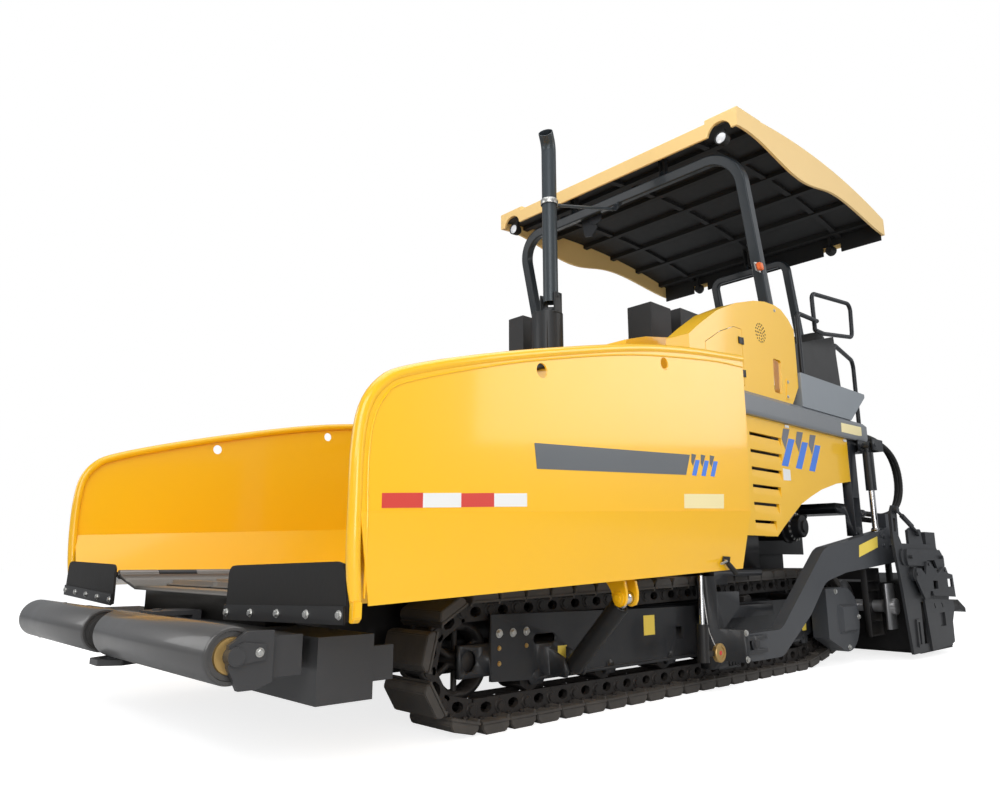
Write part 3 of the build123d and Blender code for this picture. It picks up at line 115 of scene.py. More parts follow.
def maths(operation, *terms, clamp=False):
    """A sum inside the weathering group, of sockets and plain numbers."""
    node = wn.new("ShaderNodeMath")
    node.operation = operation
    node.use_clamp = clamp
    for socket, term in zip(node.inputs, terms):
        if isinstance(term, float):
            socket.default_value = term
        else:
            wl.new(term, socket)
    return node.outputs[0]


settled = maths("MULTIPLY", maths("MULTIPLY", low_down.outputs[0], patch.outputs["Fac"]), upward.outputs[0])
dusty = maths("MULTIPLY", settled, given.outputs["Dust"], clamp=True)
drifted = maths("MULTIPLY_ADD", maths("SUBTRACT", slow.outputs["Fac"], 0.5), given.outputs["Drift"], 1.0)
shade = wn.new("ShaderNodeVectorMath")
shade.operation = "SCALE"
blend_dust = wn.new("ShaderNodeMix")
blend_dust.data_type = "RGBA"
rough = maths("MULTIPLY_ADD", dusty, 0.5, given.outputs["Base Roughness"])
speck = maths("MULTIPLY_ADD", patch.outputs["Fac"], 0.08, rough)
join(weathering, (given.outputs["Coat"], shade.inputs[0]), (drifted, shade.inputs["Scale"]),
    (dusty, blend_dust.inputs["Factor"]), (shade.outputs[0], blend_dust.inputs["A"]),
    (given.outputs["Dust Colour"], blend_dust.inputs["B"]),
    (blend_dust.outputs["Result"], handed.inputs["Colour"]), (speck, handed.inputs["Roughness"]),
    (grain.outputs["Fac"], handed.inputs["Height"]))
road_dust = (0.3, 0.26, 0.2)


def finish(name, coat, roughness=0.35, metal=0.0, dust=0.15, drift=0.1, grain_scale=180.0, bump=0.02,
        gloss=0.0, dust_colour=road_dust, shine=0.5):
    """A paint, casting, rubber or metal with the shared weathering."""
    material = bpy.data.materials.new(name)
    material.use_nodes = True
    tree = material.node_tree
    skin = tree.nodes["Principled BSDF"]
    worn = tree.nodes.new("ShaderNodeGroup")
    worn.node_tree = weathering
    put(worn, Coat=(*coat, 1.0), Dust_Colour=(*dust_colour, 1.0), Dust=dust, Drift=drift,
        Grain_Scale=grain_scale, Base_Roughness=roughness)
    ripple = tree.nodes.new("ShaderNodeBump")
    put(ripple, Strength=bump, Distance=0.002)
    join(tree, (worn.outputs["Colour"], skin.inputs["Base Color"]),
        (worn.outputs["Roughness"], skin.inputs["Roughness"]),
        (worn.outputs["Height"], ripple.inputs["Height"]), (ripple.outputs["Normal"], skin.inputs["Normal"]))
    put(skin, Metallic=metal, Specular_IOR_Level=shine, Coat_Weight=gloss, Coat_Roughness=0.08)
    return material


def to_mesh(name, form, crease=35.0):
    """A worked form as a mesh, smooth but for its sharp edges."""
    bmesh.ops.remove_doubles(form, verts=form.verts, dist=1e-5)
    bmesh.ops.recalc_face_normals(form, faces=form.faces)
    for face in form.faces:
        face.smooth = True
    for edge in form.edges:
        edge.smooth = len(edge.link_faces) == 2 and edge.calc_face_angle(0.0) < math.radians(crease)
    mesh = bpy.data.meshes.new(name)
    form.to_mesh(mesh)
    form.free()
    return mesh


def fit_piece(name, mesh, material, body):
    """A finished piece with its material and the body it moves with."""
    mesh.materials.clear()
    mesh.materials.append(material)
    piece = stand(name, mesh)
    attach(piece, body)
    return piece


def fit_form(name, form, material, body):
    """A worked form as a finished piece."""
    return fit_piece(name, to_mesh(name, form), material, body)


def smooth_route(name, route):
    """Points along one smooth spline that goes by the route's bends."""
    curve = bpy.data.curves.new(name, "CURVE")
    curve.dimensions = "3D"
    curve.resolution_u = 24
    spline = curve.splines.new("NURBS")
    spline.points.add(len(route) - 1)
    for knot, point in zip(spline.points, route):
        knot.co = (*point, 1.0)
    spline.order_u = 3
    spline.use_endpoint_u = True
    line = stand(name, curve)
    bpy.context.view_layer.update()
    graph = bpy.context.evaluated_depsgraph_get()
    traced = bpy.data.meshes.new_from_object(line.evaluated_get(graph))
    points = [vertex.co.copy() for vertex in traced.vertices]
    bpy.data.objects.remove(line)
    bpy.data.meshes.remove(traced)
    return points


def ring_round(form, hub, side, lift, radius, sides):
    """New corners in a ring round a point."""
    angles = [2 * math.pi * corner / sides for corner in range(sides)]
    return [form.verts.new(hub + radius * (math.cos(angle) * side + math.sin(angle) * lift))
            for angle in angles]


def tube_along(form, line, step, radii, sides=14):
    """A closed tube along a line, its radius going through the given values in turn."""
    reach = [0.0]
    for start, end in zip(line, line[1:]):
        reach.append(reach[-1] + (end - start).length)
    count = max(2, int(reach[-1] / step))
    rings = []
    side = Vector((0.0, 1.0, 0.0))
    segment = 0
    for index in range(count + 1):
        goal = reach[-1] * index / count
        while segment < len(line) - 2 and reach[segment + 1] < goal:
            segment += 1
        run = line[segment + 1] - line[segment]
        way = run.normalized()
        here = line[segment] + run * ((goal - reach[segment]) / run.length)
        side = (side - way * side.dot(way)).normalized()
        lift = way.cross(side)
        radius = radii[index % len(radii)]
        rings.append(ring_round(form, here, side, lift, radius, sides))
    for before, after in zip(rings, rings[1:]):
        for corner in range(sides):
            follow = (corner + 1) % sides
            form.faces.new((before[corner], before[follow], after[follow], after[corner]))
    form.faces.new(rings[0])
    form.faces.new(rings[-1])


rubber_black = finish("rubber_black", (0.014, 0.014, 0.014), 0.5, dust=0.2, grain_scale=320.0, bump=0.15,
    shine=0.25)
hose_radius = 0.021
hose_rib = 0.013
hose_lines = {
    "rear_hose_outer": (1.195, ((-2.105, 1.735), (-2.31, 1.735), (-2.545, 1.702), (-2.715, 1.621),
        (-2.801, 1.5), (-2.801, 1.352), (-2.706, 1.22), (-2.525, 1.14), (-2.299, 1.1), (-2.11, 1.11),
        (-1.925, 1.11))),
    "rear_hose_inner": (1.15, ((-2.105, 1.775), (-2.32, 1.775), (-2.565, 1.742), (-2.745, 1.65),
        (-2.835, 1.515), (-2.835, 1.345), (-2.735, 1.2), (-2.545, 1.105), (-2.31, 1.062), (-2.115, 1.068),
        (-1.925, 1.068))),
}
for name, (hose_y, bends) in hose_lines.items():
    route = [(x, hose_y, z) for x, z in bends]
    line = smooth_route(name, route)
    form = bmesh.new()
    tube_along(form, line, hose_rib / 4,
        (hose_radius - 0.0035, hose_radius, hose_radius, hose_radius - 0.0035))
    hose = fit_piece(f"{name}_ribbed", to_mesh(name, form, 60.0), rubber_black, "chassis")
    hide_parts(name)

# Studio: a white room with soft boxes overhead and in front, so that the enamel shows broad
# highlights and the machine keeps a soft shadow on the floor.
studio_world = bpy.data.worlds.new("studio")
bpy.context.scene.world = studio_world
studio_world.use_nodes = True
sky = studio_world.node_tree
sky.nodes.clear()
sky_out, sky_mix, sky_fill, sky_seen, sky_path, sky_either = new_nodes(sky, "ShaderNode", "OutputWorld",
    "MixShader", "Background", "Background", "LightPath", "Math")
sky_either.operation = "MAXIMUM"
put(sky_fill, Color=(0.93, 0.96, 1.0, 1.0), Strength=0.36)
put(sky_seen, Color=(1.0, 1.0, 1.0, 1.0), Strength=1.0)
join(sky, (sky_path.outputs["Is Camera Ray"], sky_either.inputs[0]),
    (sky_path.outputs["Is Transmission Ray"], sky_either.inputs[1]),
    (sky_either.outputs[0], sky_mix.inputs["Fac"]), (sky_fill.outputs[0], sky_mix.inputs[1]),
    (sky_seen.outputs[0], sky_mix.inputs[2]), (sky_mix.outputs[0], sky_out.inputs["Surface"]))

soft_boxes = [
    ("overhead", (1.0, 0.5, 9.0), (0.0, 0.0, 0.5), 9.0, 480.0),
    ("front_left", (8.5, 7.0, 5.5), (0.0, 0.5, 1.2), 6.0, 440.0),
    ("front_right", (9.0, -6.0, 4.5), (0.5, 0.0, 1.0), 5.0, 200.0),
    ("low_left", (4.5, 8.5, 0.9), (0.8, 1.5, 0.8), 3.0, 150.0),
    ("rear_left", (-8.0, 9.0, 6.0), (-1.0, 0.0, 1.5), 6.0, 330.0),
    ("rear_right", (-8.0, -8.0, 6.0), (-1.0, 0.0, 1.5), 5.0, 200.0),
]
for name, where, target, size, power in soft_boxes:
    light = bpy.data.lights.new(name, "AREA")
    light.shape = "SQUARE"
    light.size = size
    light.energy = power
    holder = stand(name, light)
    holder.location = where
    holder.rotation_euler = (Vector(target) - Vector(where)).to_track_quat("-Z", "Y").to_euler()

floor_mesh = bpy.data.meshes.new("studio_floor")
floor_reach = 60.0
floor_mesh.from_pydata([(-floor_reach, -floor_reach, 0), (floor_reach, -floor_reach, 0),
    (floor_reach, floor_reach, 0), (-floor_reach, floor_reach, 0)], [], [(0, 1, 2, 3)])
studio_floor = stand("studio_floor", floor_mesh)
floor_paint = bpy.data.materials.new("studio_floor")
floor_paint.use_nodes = True
floor_tree = floor_paint.node_tree
floor_tree.nodes.clear()
floor_out, floor_sum, floor_matt, floor_glow, floor_path, floor_scale = new_nodes(floor_tree, "ShaderNode",
    "OutputMaterial", "AddShader", "BsdfDiffuse", "Emission", "LightPath", "Math")
floor_scale.operation = "MULTIPLY"
floor_scale.inputs[1].default_value = 0.8
put(floor_matt, Color=(0.62, 0.62, 0.62, 1.0))
join(floor_tree, (floor_path.outputs["Is Camera Ray"], floor_scale.inputs[0]),
    (floor_scale.outputs[0], floor_glow.inputs["Strength"]), (floor_matt.outputs[0], floor_sum.inputs[0]),
    (floor_glow.outputs[0], floor_sum.inputs[1]), (floor_sum.outputs[0], floor_out.inputs["Surface"]))
floor_mesh.materials.append(floor_paint)

# Tracks: forged link plates with an oval window, joined by pins, and a bolted shoe with a thick
# chamfered pad on each link. The chain runs round the idler, the rollers and the sprocket.
laid_out = bpy.data.node_groups.new("laid_out_parts", "GeometryNodeTree")
laid_out.interface.new_socket("Spots", in_out="INPUT", socket_type="NodeSocketGeometry")
part_input = laid_out.interface.new_socket("Part", in_out="INPUT", socket_type="NodeSocketObject")
finish_input = laid_out.interface.new_socket("Finish", in_out="INPUT", socket_type="NodeSocketMaterial")
size_input = laid_out.interface.new_socket("Size", in_out="INPUT", socket_type="NodeSocketFloat")
laid_out.interface.new_socket("Pieces", in_out="OUTPUT", socket_type="NodeSocketGeometry")
spots_in, pieces_out = new_nodes(laid_out, "NodeGroup", "Input", "Output")
part_info, turn_read, placed, realised, painted = new_nodes(laid_out, "GeometryNode", "ObjectInfo",
    "InputNamedAttribute", "InstanceOnPoints", "RealizeInstances", "SetMaterial")
turn_read.data_type = "FLOAT_VECTOR"
turn_read.inputs["Name"].default_value = "turn"
turn_made = laid_out.nodes.new("FunctionNodeEulerToRotation")
join(laid_out, (spots_in.outputs["Spots"], placed.inputs["Points"]),
    (spots_in.outputs["Part"], part_info.inputs["Object"]),
    (part_info.outputs["Geometry"], placed.inputs["Instance"]),
    (turn_read.outputs["Attribute"], turn_made.inputs["Euler"]),
    (turn_made.outputs["Rotation"], placed.inputs["Rotation"]),
    (spots_in.outputs["Size"], placed.inputs["Scale"]),
    (placed.outputs["Instances"], realised.inputs["Geometry"]),
    (realised.outputs["Geometry"], painted.inputs["Geometry"]),
    (spots_in.outputs["Finish"], painted.inputs["Material"]),
    (painted.outputs["Geometry"], pieces_out.inputs["Pieces"]))


def lay_out(name, part_mesh, spots, turns, material, body, size=1.0):
    """Copies of one part at each spot, turned as its turn says, made one plain mesh."""
    spot_mesh = bpy.data.meshes.new(f"{name}_spots")
    spot_mesh.from_pydata([tuple(spot) for spot in spots], [], [])
    turn = spot_mesh.attributes.new("turn", "FLOAT_VECTOR", "POINT")
    turn.data.foreach_set("vector", [value for angles in turns for value in angles])
    holder = stand(f"{name}_spots", spot_mesh)
    part = stand(f"{name}_part", part_mesh)
    layer = holder.modifiers.new("laid_out", "NODES")
    layer.node_group = laid_out
    layer[part_input.identifier] = part
    layer[finish_input.identifier] = material
    layer[size_input.identifier] = size
    bpy.context.view_layer.update()
    graph = bpy.context.evaluated_depsgraph_get()
    plain = bpy.data.meshes.new_from_object(holder.evaluated_get(graph))
    plain.name = name
    holder.modifiers.remove(layer)
    bpy.data.objects.remove(holder)
    bpy.data.objects.remove(part)
    for attribute in [a.name for a in plain.attributes if a.name == "turn"]:
        plain.attributes.remove(plain.attributes[attribute])
    return fit_piece(name, plain, material, body)


def prism(form, outline, low, high, plane="side", soften=0.0):
    """A plate with the outline's shape: side lies in XZ, front in YZ and flat in XY."""
    order = {"side": lambda u, v, w: (u, w, v), "front": lambda u, v, w: (w, u, v), "flat": lambda u, v,
        w: (u, v, w)}[plane]
    near = [form.verts.new(order(u, v, low)) for u, v in outline]
    far = [form.verts.new(order(u, v, high)) for u, v in outline]
    faces = [form.faces.new(near), form.faces.new(list(reversed(far)))]
    for index in range(len(outline)):
        follow = (index + 1) % len(outline)
        faces.append(form.faces.new((near[index], far[index], far[follow], near[follow])))
    if soften:
        edges = list({edge for face in faces for edge in face.edges})
        bmesh.ops.recalc_face_normals(form, faces=faces)
        bmesh.ops.bevel(form, geom=edges, offset=soften, segments=2, affect="EDGES")


def turned(form, profile, centre, axis, sides=40):
    """A shape turned about an axis, from pairs of distance along it and radius."""
    axis = Vector(axis).normalized()
    side = axis.orthogonal().normalized()
    lift = axis.cross(side)
    rings = []
    for distance, radius in profile:
        hub = Vector(centre) + axis * distance
        if radius <= 0.0:
            rings.append([form.verts.new(hub)])
            continue
        rings.append(ring_round(form, hub, side, lift, radius, sides))
    for before, after in zip(rings, rings[1:]):
        for corner in range(sides):
            follow = (corner + 1) % sides
            corners = [before[corner % len(before)], before[follow % len(before)], after[follow % len(after)],
                after[corner % len(after)]]
            single = list(dict.fromkeys(corners))
            if len(single) > 2:
                form.faces.new(single)


def lathe(name, profile, centre, axis, sides, material, body, crease=35.0):
    """A piece turned from one profile."""
    form = bmesh.new()
    turned(form, profile, centre, axis, sides)
    return fit_piece(name, to_mesh(name, form, crease), material, body)


def hexagon_bolt():
    """A hexagon bolt head on its washer, one unit across its half width, facing up."""
    form = bmesh.new()
    turned(form, [(0.0, 0.0), (0.0, 1.45), (0.14, 1.4), (0.16, 0.0)], (0, 0, 0), (0, 0, 1), 16)
    turned(form, [(0.12, 0.0), (0.12, 1.08), (0.72, 1.08), (0.86, 0.86), (0.86, 0.0)], (0, 0, 0), (0, 0, 1),
        6)
    return to_mesh("hexagon_bolt", form, 20.0)


def bolts(name, spots, normal, radius, material, body):
    """Bolt heads on a flat face, all facing the same way."""
    turn = Vector(normal).to_track_quat("Z", "Y").to_euler()
    return lay_out(name, hexagon_bolt(), spots, [turn] * len(spots), material, body, radius)


def on_side(points, side):
    """Places given for the machine's left, on the side asked for."""
    return [(x, side * y, z) for x, y, z in points]


cast_steel = finish("cast_steel", (0.022, 0.022, 0.023), 0.44, metal=0.3, dust=0.3, grain_scale=90.0,
    bump=0.25, shine=0.25, dust_colour=(0.24, 0.19, 0.15))
shoe_steel = finish("shoe_steel", (0.042, 0.04, 0.038), 0.5, metal=0.2, dust=0.6, grain_scale=60.0, bump=0.5,
    dust_colour=(0.27, 0.235, 0.2))
track_middle = 0.95
link_pitch = 0.1715
chain_wheels = ((-1.005, 0.215, 0.12), (2.105, 0.305, 0.21), (-1.405, 0.385, 0.21))


def chain_pins():
    """Even places of the pins along the line that wraps the three wheels."""
    turns = []
    count = len(chain_wheels)
    for index, (x, z, r) in enumerate(chain_wheels):
        nx, nz, nr = chain_wheels[(index + 1) % count]
        turns.append(math.atan2(nz - z, nx - x) - math.acos((r - nr) / math.hypot(nx - x, nz - z)))
    line = []
    for index, (x, z, r) in enumerate(chain_wheels):
        nx, nz, nr = chain_wheels[(index + 1) % count]
        start = (x + r * math.cos(turns[index]), z + r * math.sin(turns[index]))
        line.append(start)
        sweep = (turns[(index + 1) % count] - turns[index]) % (2 * math.pi)
        for step in range(61):
            angle = turns[index] + sweep * step / 60
            line.append((nx + nr * math.cos(angle), nz + nr * math.sin(angle)))
    line.append(line[0])
    reach = [0.0]
    for (x, z), (nx, nz) in zip(line, line[1:]):
        reach.append(reach[-1] + math.hypot(nx - x, nz - z))
    pins = []
    total = round(reach[-1] / link_pitch)
    segment = 0
    for index in range(total):
        goal = reach[-1] * index / total
        while reach[segment + 1] < goal:
            segment += 1
        share = (goal - reach[segment]) / (reach[segment + 1] - reach[segment])
        (x, z), (nx, nz) = line[segment], line[segment + 1]
        pins.append((x + share * (nx - x), z + share * (nz - z)))
    return pins


def track_link():
    """Two windowed link plates, their bosses and pin ends, and the shoe bolts."""
    form = bmesh.new()
    outer = [(-0.084, -0.045), (-0.045, -0.045), (0.0, -0.045), (0.045, -0.045), (0.084, -0.045),
        (0.086, -0.018), (0.07, 0.01), (0.064, 0.04), (0.032, 0.04), (0.0, 0.04), (-0.032, 0.04),
        (-0.064, 0.04), (-0.07, 0.01), (-0.086, -0.018)]
    window = []
    for x, z in outer:
        angle = math.atan2(z + 0.004, x)
        window.append((0.033 * math.cos(angle), -0.004 + 0.024 * math.sin(angle)))
    for row in (-0.062, 0.062):
        rims = []
        for y in (row - 0.014, row + 0.014):
            rims.append(([form.verts.new((x, y, z)) for x, z in outer],
                [form.verts.new((x, y, z)) for x, z in window]))
        (outer_low, window_low), (outer_high, window_high) = rims
        for index in range(len(outer)):
            follow = (index + 1) % len(outer)
            form.faces.new((outer_low[index], outer_low[follow], window_low[follow], window_low[index]))
            form.faces.new((outer_high[index], window_high[index], window_high[follow], outer_high[follow]))
            form.faces.new((outer_low[index], outer_high[index], outer_high[follow], outer_low[follow]))
            form.faces.new((window_low[index], window_low[follow], window_high[follow], window_high[index]))
        outward = -1 if row < 0 else 1
        boss = [(0.0, 0.0), (0.0, 0.032), (0.021, 0.032), (0.025, 0.028), (0.025, 0.019), (0.031, 0.018),
            (0.031, 0.0)]
        turned(form, boss, (0.0858, row - outward * 0.006, 0.0), (0, outward, 0), 18)
        for x in (-0.04, 0.04):
            turned(form, [(0.0, 0.0), (0.0, 0.012), (-0.009, 0.012), (-0.012, 0.009), (-0.012, 0.0)],
                (x, row + outward * 0.03, 0.041), (0, 0, 1), 6)
    turned(form, [(-0.062, 0.0), (-0.062, 0.02), (0.062, 0.02), (0.062, 0.0)], (0.0858, 0.0, 0.0), (0, 1, 0),
        12)
    return to_mesh("track_link", form, 30.0)


def track_shoe():
    """A steel shoe plate with a thick pad whose edges are chamfered."""
    form = bmesh.new()
    half = 0.15
    prism(form, [(-0.0845, 0.04), (0.0845, 0.04), (0.0845, 0.052), (-0.0845, 0.052)], -half, half,
        soften=0.002)
    prism(form, [(-0.08, 0.0515), (0.08, 0.0515), (0.08, 0.072), (0.06, 0.095), (-0.06, 0.095),
        (-0.08, 0.072)], -half + 0.002, half - 0.002, soften=0.004)
    prism(form, [(-0.0845, 0.04), (-0.0845, 0.028), (-0.076, 0.028), (-0.07, 0.041)], -half + 0.01,
        half - 0.01)
    return to_mesh("track_shoe", form, 30.0)


pins = chain_pins()
for side_name, side in both_sides:
    spots = []
    turns = []
    for here, after in zip(pins, pins[1:] + pins[:1]):
        tangent = Vector((after[0] - here[0], 0.0, after[1] - here[1])).normalized()
        outward = Vector((tangent.z, 0.0, -tangent.x))
        basis = Matrix((tangent, outward.cross(tangent), outward)).transposed()
        spots.append(((here[0] + after[0]) / 2, side * track_middle, (here[1] + after[1]) / 2))
        turns.append(basis.to_euler())
    chain = lay_out(f"track_chain_{side_name}", track_link(), spots, turns, cast_steel, "chassis")
    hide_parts(f"track_{side_name}")
    lay_out(f"track_shoes_{side_name}", track_shoe(), spots, turns, shoe_steel, "chassis")


def dress(material, *names, rounding=0.0):
    """Gives CAD nodes their finish and, where it is asked for, corners that catch the light."""
    for name in names:
        node = solids[name]
        node.data.materials.clear()
        node.data.materials.append(material)
        for polygon in node.data.polygons:
            polygon.use_smooth = True
        weld = node.modifiers.new("weld", "WELD")
        weld.merge_threshold = 0.00001
        if rounding:
            corner = node.modifiers.new("corner", "BEVEL")
            corner.width = rounding
            corner.segments = 2
            corner.limit_method = "ANGLE"
            corner.angle_limit = math.radians(35)
            corner.use_clamp_overlap = True
        level = node.modifiers.new("level", "WEIGHTED_NORMAL")
        level.weight = 60


dress(cast_steel, "idlers", "sprockets", "track_rollers")

# Track frames: welded box beams in black enamel, with bright bolts at the idler's tensioner,
# brass plugs, blank yellow labels and the foot of the wing cylinder.
black_enamel = finish("black_enamel", (0.009, 0.0095, 0.011), 0.32, dust=0.12, gloss=0.1, shine=0.28)
frame_enamel = finish("frame_enamel", (0.016, 0.018, 0.022), 0.34, dust=0.12, gloss=0.1, shine=0.28)
zinc_steel = finish("zinc_steel", (0.55, 0.55, 0.53), 0.28, metal=0.9, dust=0.15, bump=0.05)
brass = finish("brass", (0.55, 0.36, 0.13), 0.32, metal=0.9, dust=0.3, bump=0.05)
label_film = finish("label_film", (0.93, 0.7, 0.1), 0.42, dust=0.05, drift=0.03, bump=0.0)
dress(frame_enamel, "track_frames")
frame_face = 1.08
film_sink = 0.0008
tension_spots = [(1.945, frame_face, 0.416), (1.858, frame_face, 0.415), (1.77, frame_face, 0.416)]
plug_spots = [(1.945, frame_face, 0.352), (1.77, frame_face, 0.352), (1.945, frame_face, 0.285)]


def plate(name, outline, low, high, material, body, plane="side", soften=0.0):
    """A piece that is one plate of the outline's shape."""
    form = bmesh.new()
    prism(form, outline, low, high, plane, soften)
    return fit_form(name, form, material, body)


def film(name, outlines, face, side, material, body, thickness=0.0012):
    """Thin plates or films on an upright side face, each outline in X and Z."""
    form = bmesh.new()
    for outline in outlines:
        prism(form, outline, side * (face - film_sink), side * (face + thickness))
    return fit_form(name, form, material, body)


def sheet_corners(x_low, x_high, z_low, z_high):
    """The four corners of an upright plate."""
    return [(x_low, z_low), (x_high, z_low), (x_high, z_high), (x_low, z_high)]


for side_name, side in both_sides:
    bolts(f"tensioner_bolts_{side_name}", on_side(tension_spots, side), (0, side, 0), 0.014, zinc_steel,
        "chassis")
    bolts(f"grease_plugs_{side_name}", on_side(plug_spots, side), (0, side, 0), 0.008, brass, "chassis")
    film(f"frame_labels_{side_name}",
        [sheet_corners(1.49, 1.555, 0.25, 0.335), sheet_corners(0.76, 0.86, 0.34, 0.445),
        sheet_corners(-1.04, -0.98, 0.26, 0.34)], frame_face, side, label_film, "chassis")

# Chassis, front beam and hopper floor: plate steel, the beam in satin dark grey and the floor
# worn bright where the mix slides over it.
beam_grey = finish("beam_grey", (0.045, 0.046, 0.049), 0.4, dust=0.12, drift=0.06, gloss=0.1, shine=0.28)
floor_steel = finish("floor_steel", (0.17, 0.16, 0.15), 0.32, metal=0.6, dust=0.4, grain_scale=40.0, bump=0.1)
dress(black_enamel, "main_frame")
dress(beam_grey, "front_beam", "push_beam", rounding=0.004)
dress(floor_steel, "hopper_floor", "conveyor")

# Push rollers: steel drums in dark enamel with a turned rim, on an axle that a latch plate
# keeps in the bracket. A brass bush shows behind the bracket.
roller_enamel = finish("roller_enamel", (0.062, 0.061, 0.061), 0.3, metal=0.25, dust=0.15, drift=0.14,
    grain_scale=70.0, bump=0.06, gloss=0.3)
roller_x = 3.28
roller_z = 0.435
roller_radius = 0.095
for side_name, side in both_sides:
    form = bmesh.new()
    drum = [(0.0, 0.034), (0.0, 0.058), (0.004, 0.06), (0.004, 0.076), (-0.004, 0.08), (-0.004, 0.0885),
        (0.003, 0.092), (0.012, roller_radius), (1.136, roller_radius), (1.145, 0.092), (1.148, 0.0885),
        (1.148, 0.08), (1.14, 0.077), (1.14, 0.06), (1.148, 0.058), (1.148, 0.034), (1.12, 0.034),
        (1.12, 0.07), (0.02, 0.07), (0.02, 0.034), (0.0, 0.034)]
    drum = [(distance + 0.0045, radius) for distance, radius in drum]
    turned(form, drum, (roller_x, side * 0.075, roller_z), (0, side, 0), 96)
    shell = fit_piece(f"push_roller_shell_{side_name}", to_mesh("push_roller", form, 30.0), roller_enamel,
        f"roller_{side_name}")
    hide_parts(f"push_roller_{side_name}")
    lathe(f"roller_bush_{side_name}", [(1.2285, 0.0305), (1.2285, 0.058), (1.2245, 0.0605), (1.2195, 0.0605),
        (1.2195, 0.0305), (1.2285, 0.0305)], (roller_x, 0.0, roller_z), (0, side, 0), 40, brass, "push_bar")
    form = bmesh.new()
    latch = [(roller_x - 0.105, roller_z + 0.034), (roller_x - 0.105, roller_z - 0.018),
        (roller_x - 0.018, roller_z - 0.026), (roller_x - 0.02, roller_z - 0.012),
        (roller_x + 0.004, roller_z - 0.006), (roller_x + 0.012, roller_z + 0.014),
        (roller_x - 0.004, roller_z + 0.036), (roller_x - 0.03, roller_z + 0.044)]
    prism(form, latch, side * 1.2505, side * 1.262, soften=0.0015)
    turned(form, [(0.0, 0.0), (0.0, 0.0295), (0.016, 0.0295), (0.02, 0.026), (0.02, 0.0)],
        (roller_x, side * 1.2505, roller_z), (0, side, 0), 32)
    fit_form(f"roller_latch_{side_name}", form, beam_grey, "push_bar")
    bolts(f"latch_bolt_{side_name}", [(roller_x - 0.082, side * 1.262, roller_z + 0.008)], (0, side, 0),
        0.011, zinc_steel, "push_bar")

# Hopper wings: pressed steel in glossy yellow enamel, folded along a knee, with a rolled bead
# round the edge and a pressed line inside it. The outside carries a band, slanted ticks, a
# reflecting tape and a blank plate, and a lever with a black grip locks the wing.
yellow_enamel = finish("yellow_enamel", (0.98, 0.53, 0.006), 0.26, dust=0.0, drift=0.03, gloss=0.6)
band_grey = finish("band_grey", (0.105, 0.115, 0.125), 0.35, dust=0.05, bump=0.0, gloss=0.2)
tick_blue = finish("tick_blue", (0.045, 0.2, 0.75), 0.35, dust=0.03, bump=0.0, gloss=0.2)
tape_red = finish("tape_red", (0.66, 0.05, 0.035), 0.3, dust=0.03, grain_scale=700.0, bump=0.1, gloss=0.4)
tape_white = finish("tape_white", (0.83, 0.83, 0.82), 0.3, dust=0.03, grain_scale=700.0, bump=0.1, gloss=0.4)
plate_pale = finish("plate_pale", (0.9, 0.78, 0.42), 0.4, dust=0.03, bump=0.0)
# Painted shade: a near-black colour that stands in for the shade inside holes and slots, not the steel's own
# colour.
painted_hole_shade = finish("painted_hole_shade", (0.006, 0.006, 0.006), 0.7, dust=0.0, bump=0.0)
flap_rubber = finish("flap_rubber", (0.009, 0.0085, 0.0085), 0.55, dust=0.12, drift=0.3, grain_scale=40.0,
    bump=0.25, shine=0.25)
wing_face = 1.6
knee_front = 0.895
knee_rear = 1.004
hinge_front = 3.04
hinge_rear = 0.56
hinge_knuckles = 6
hinge_y = 0.73
hinge_z = 0.668
bead_points = [(3.037, 1.566, 0.612), (3.054, 1.575, 0.759), (3.061, 1.584, 0.929), (3.059, 1.584, 1.105),
    (3.037, 1.584, 1.242), (2.976, 1.584, 1.334), (2.876, 1.584, 1.392), (2.565, 1.584, 1.489),
    (2.111, 1.584, 1.606), (1.545, 1.584, 1.733), (1.086, 1.584, 1.806), (0.54, 1.584, 1.862)]
press_points = [(3.003, 1.57, 0.62), (3.02, 1.598, 0.845), (3.026, 1.6, 1.063), (3.009, 1.6, 1.205),
    (2.964, 1.6, 1.295), (2.886, 1.6, 1.352), (2.564, 1.6, 1.457), (2.178, 1.6, 1.562), (1.547, 1.6, 1.7),
    (0.884, 1.6, 1.79), (0.545, 1.6, 1.812)]


def smooth_line(points, steps):
    """A smooth line through the points, as a bent steel edge runs."""
    points = [Vector(point) for point in points]
    padded = [2 * points[0] - points[1]] + points + [2 * points[-1] - points[-2]]
    line = []
    for before, start, end, after in zip(padded, padded[1:], padded[2:], padded[3:]):
        for step in range(steps):
            t = step / steps
            square = (2 * before - 5 * start + 4 * end - after) * t * t
            cube = (3 * start - before - 3 * end + after) * t ** 3
            line.append(0.5 * (2 * start + (end - before) * t + square + cube))
    line.append(points[-1])
    return line


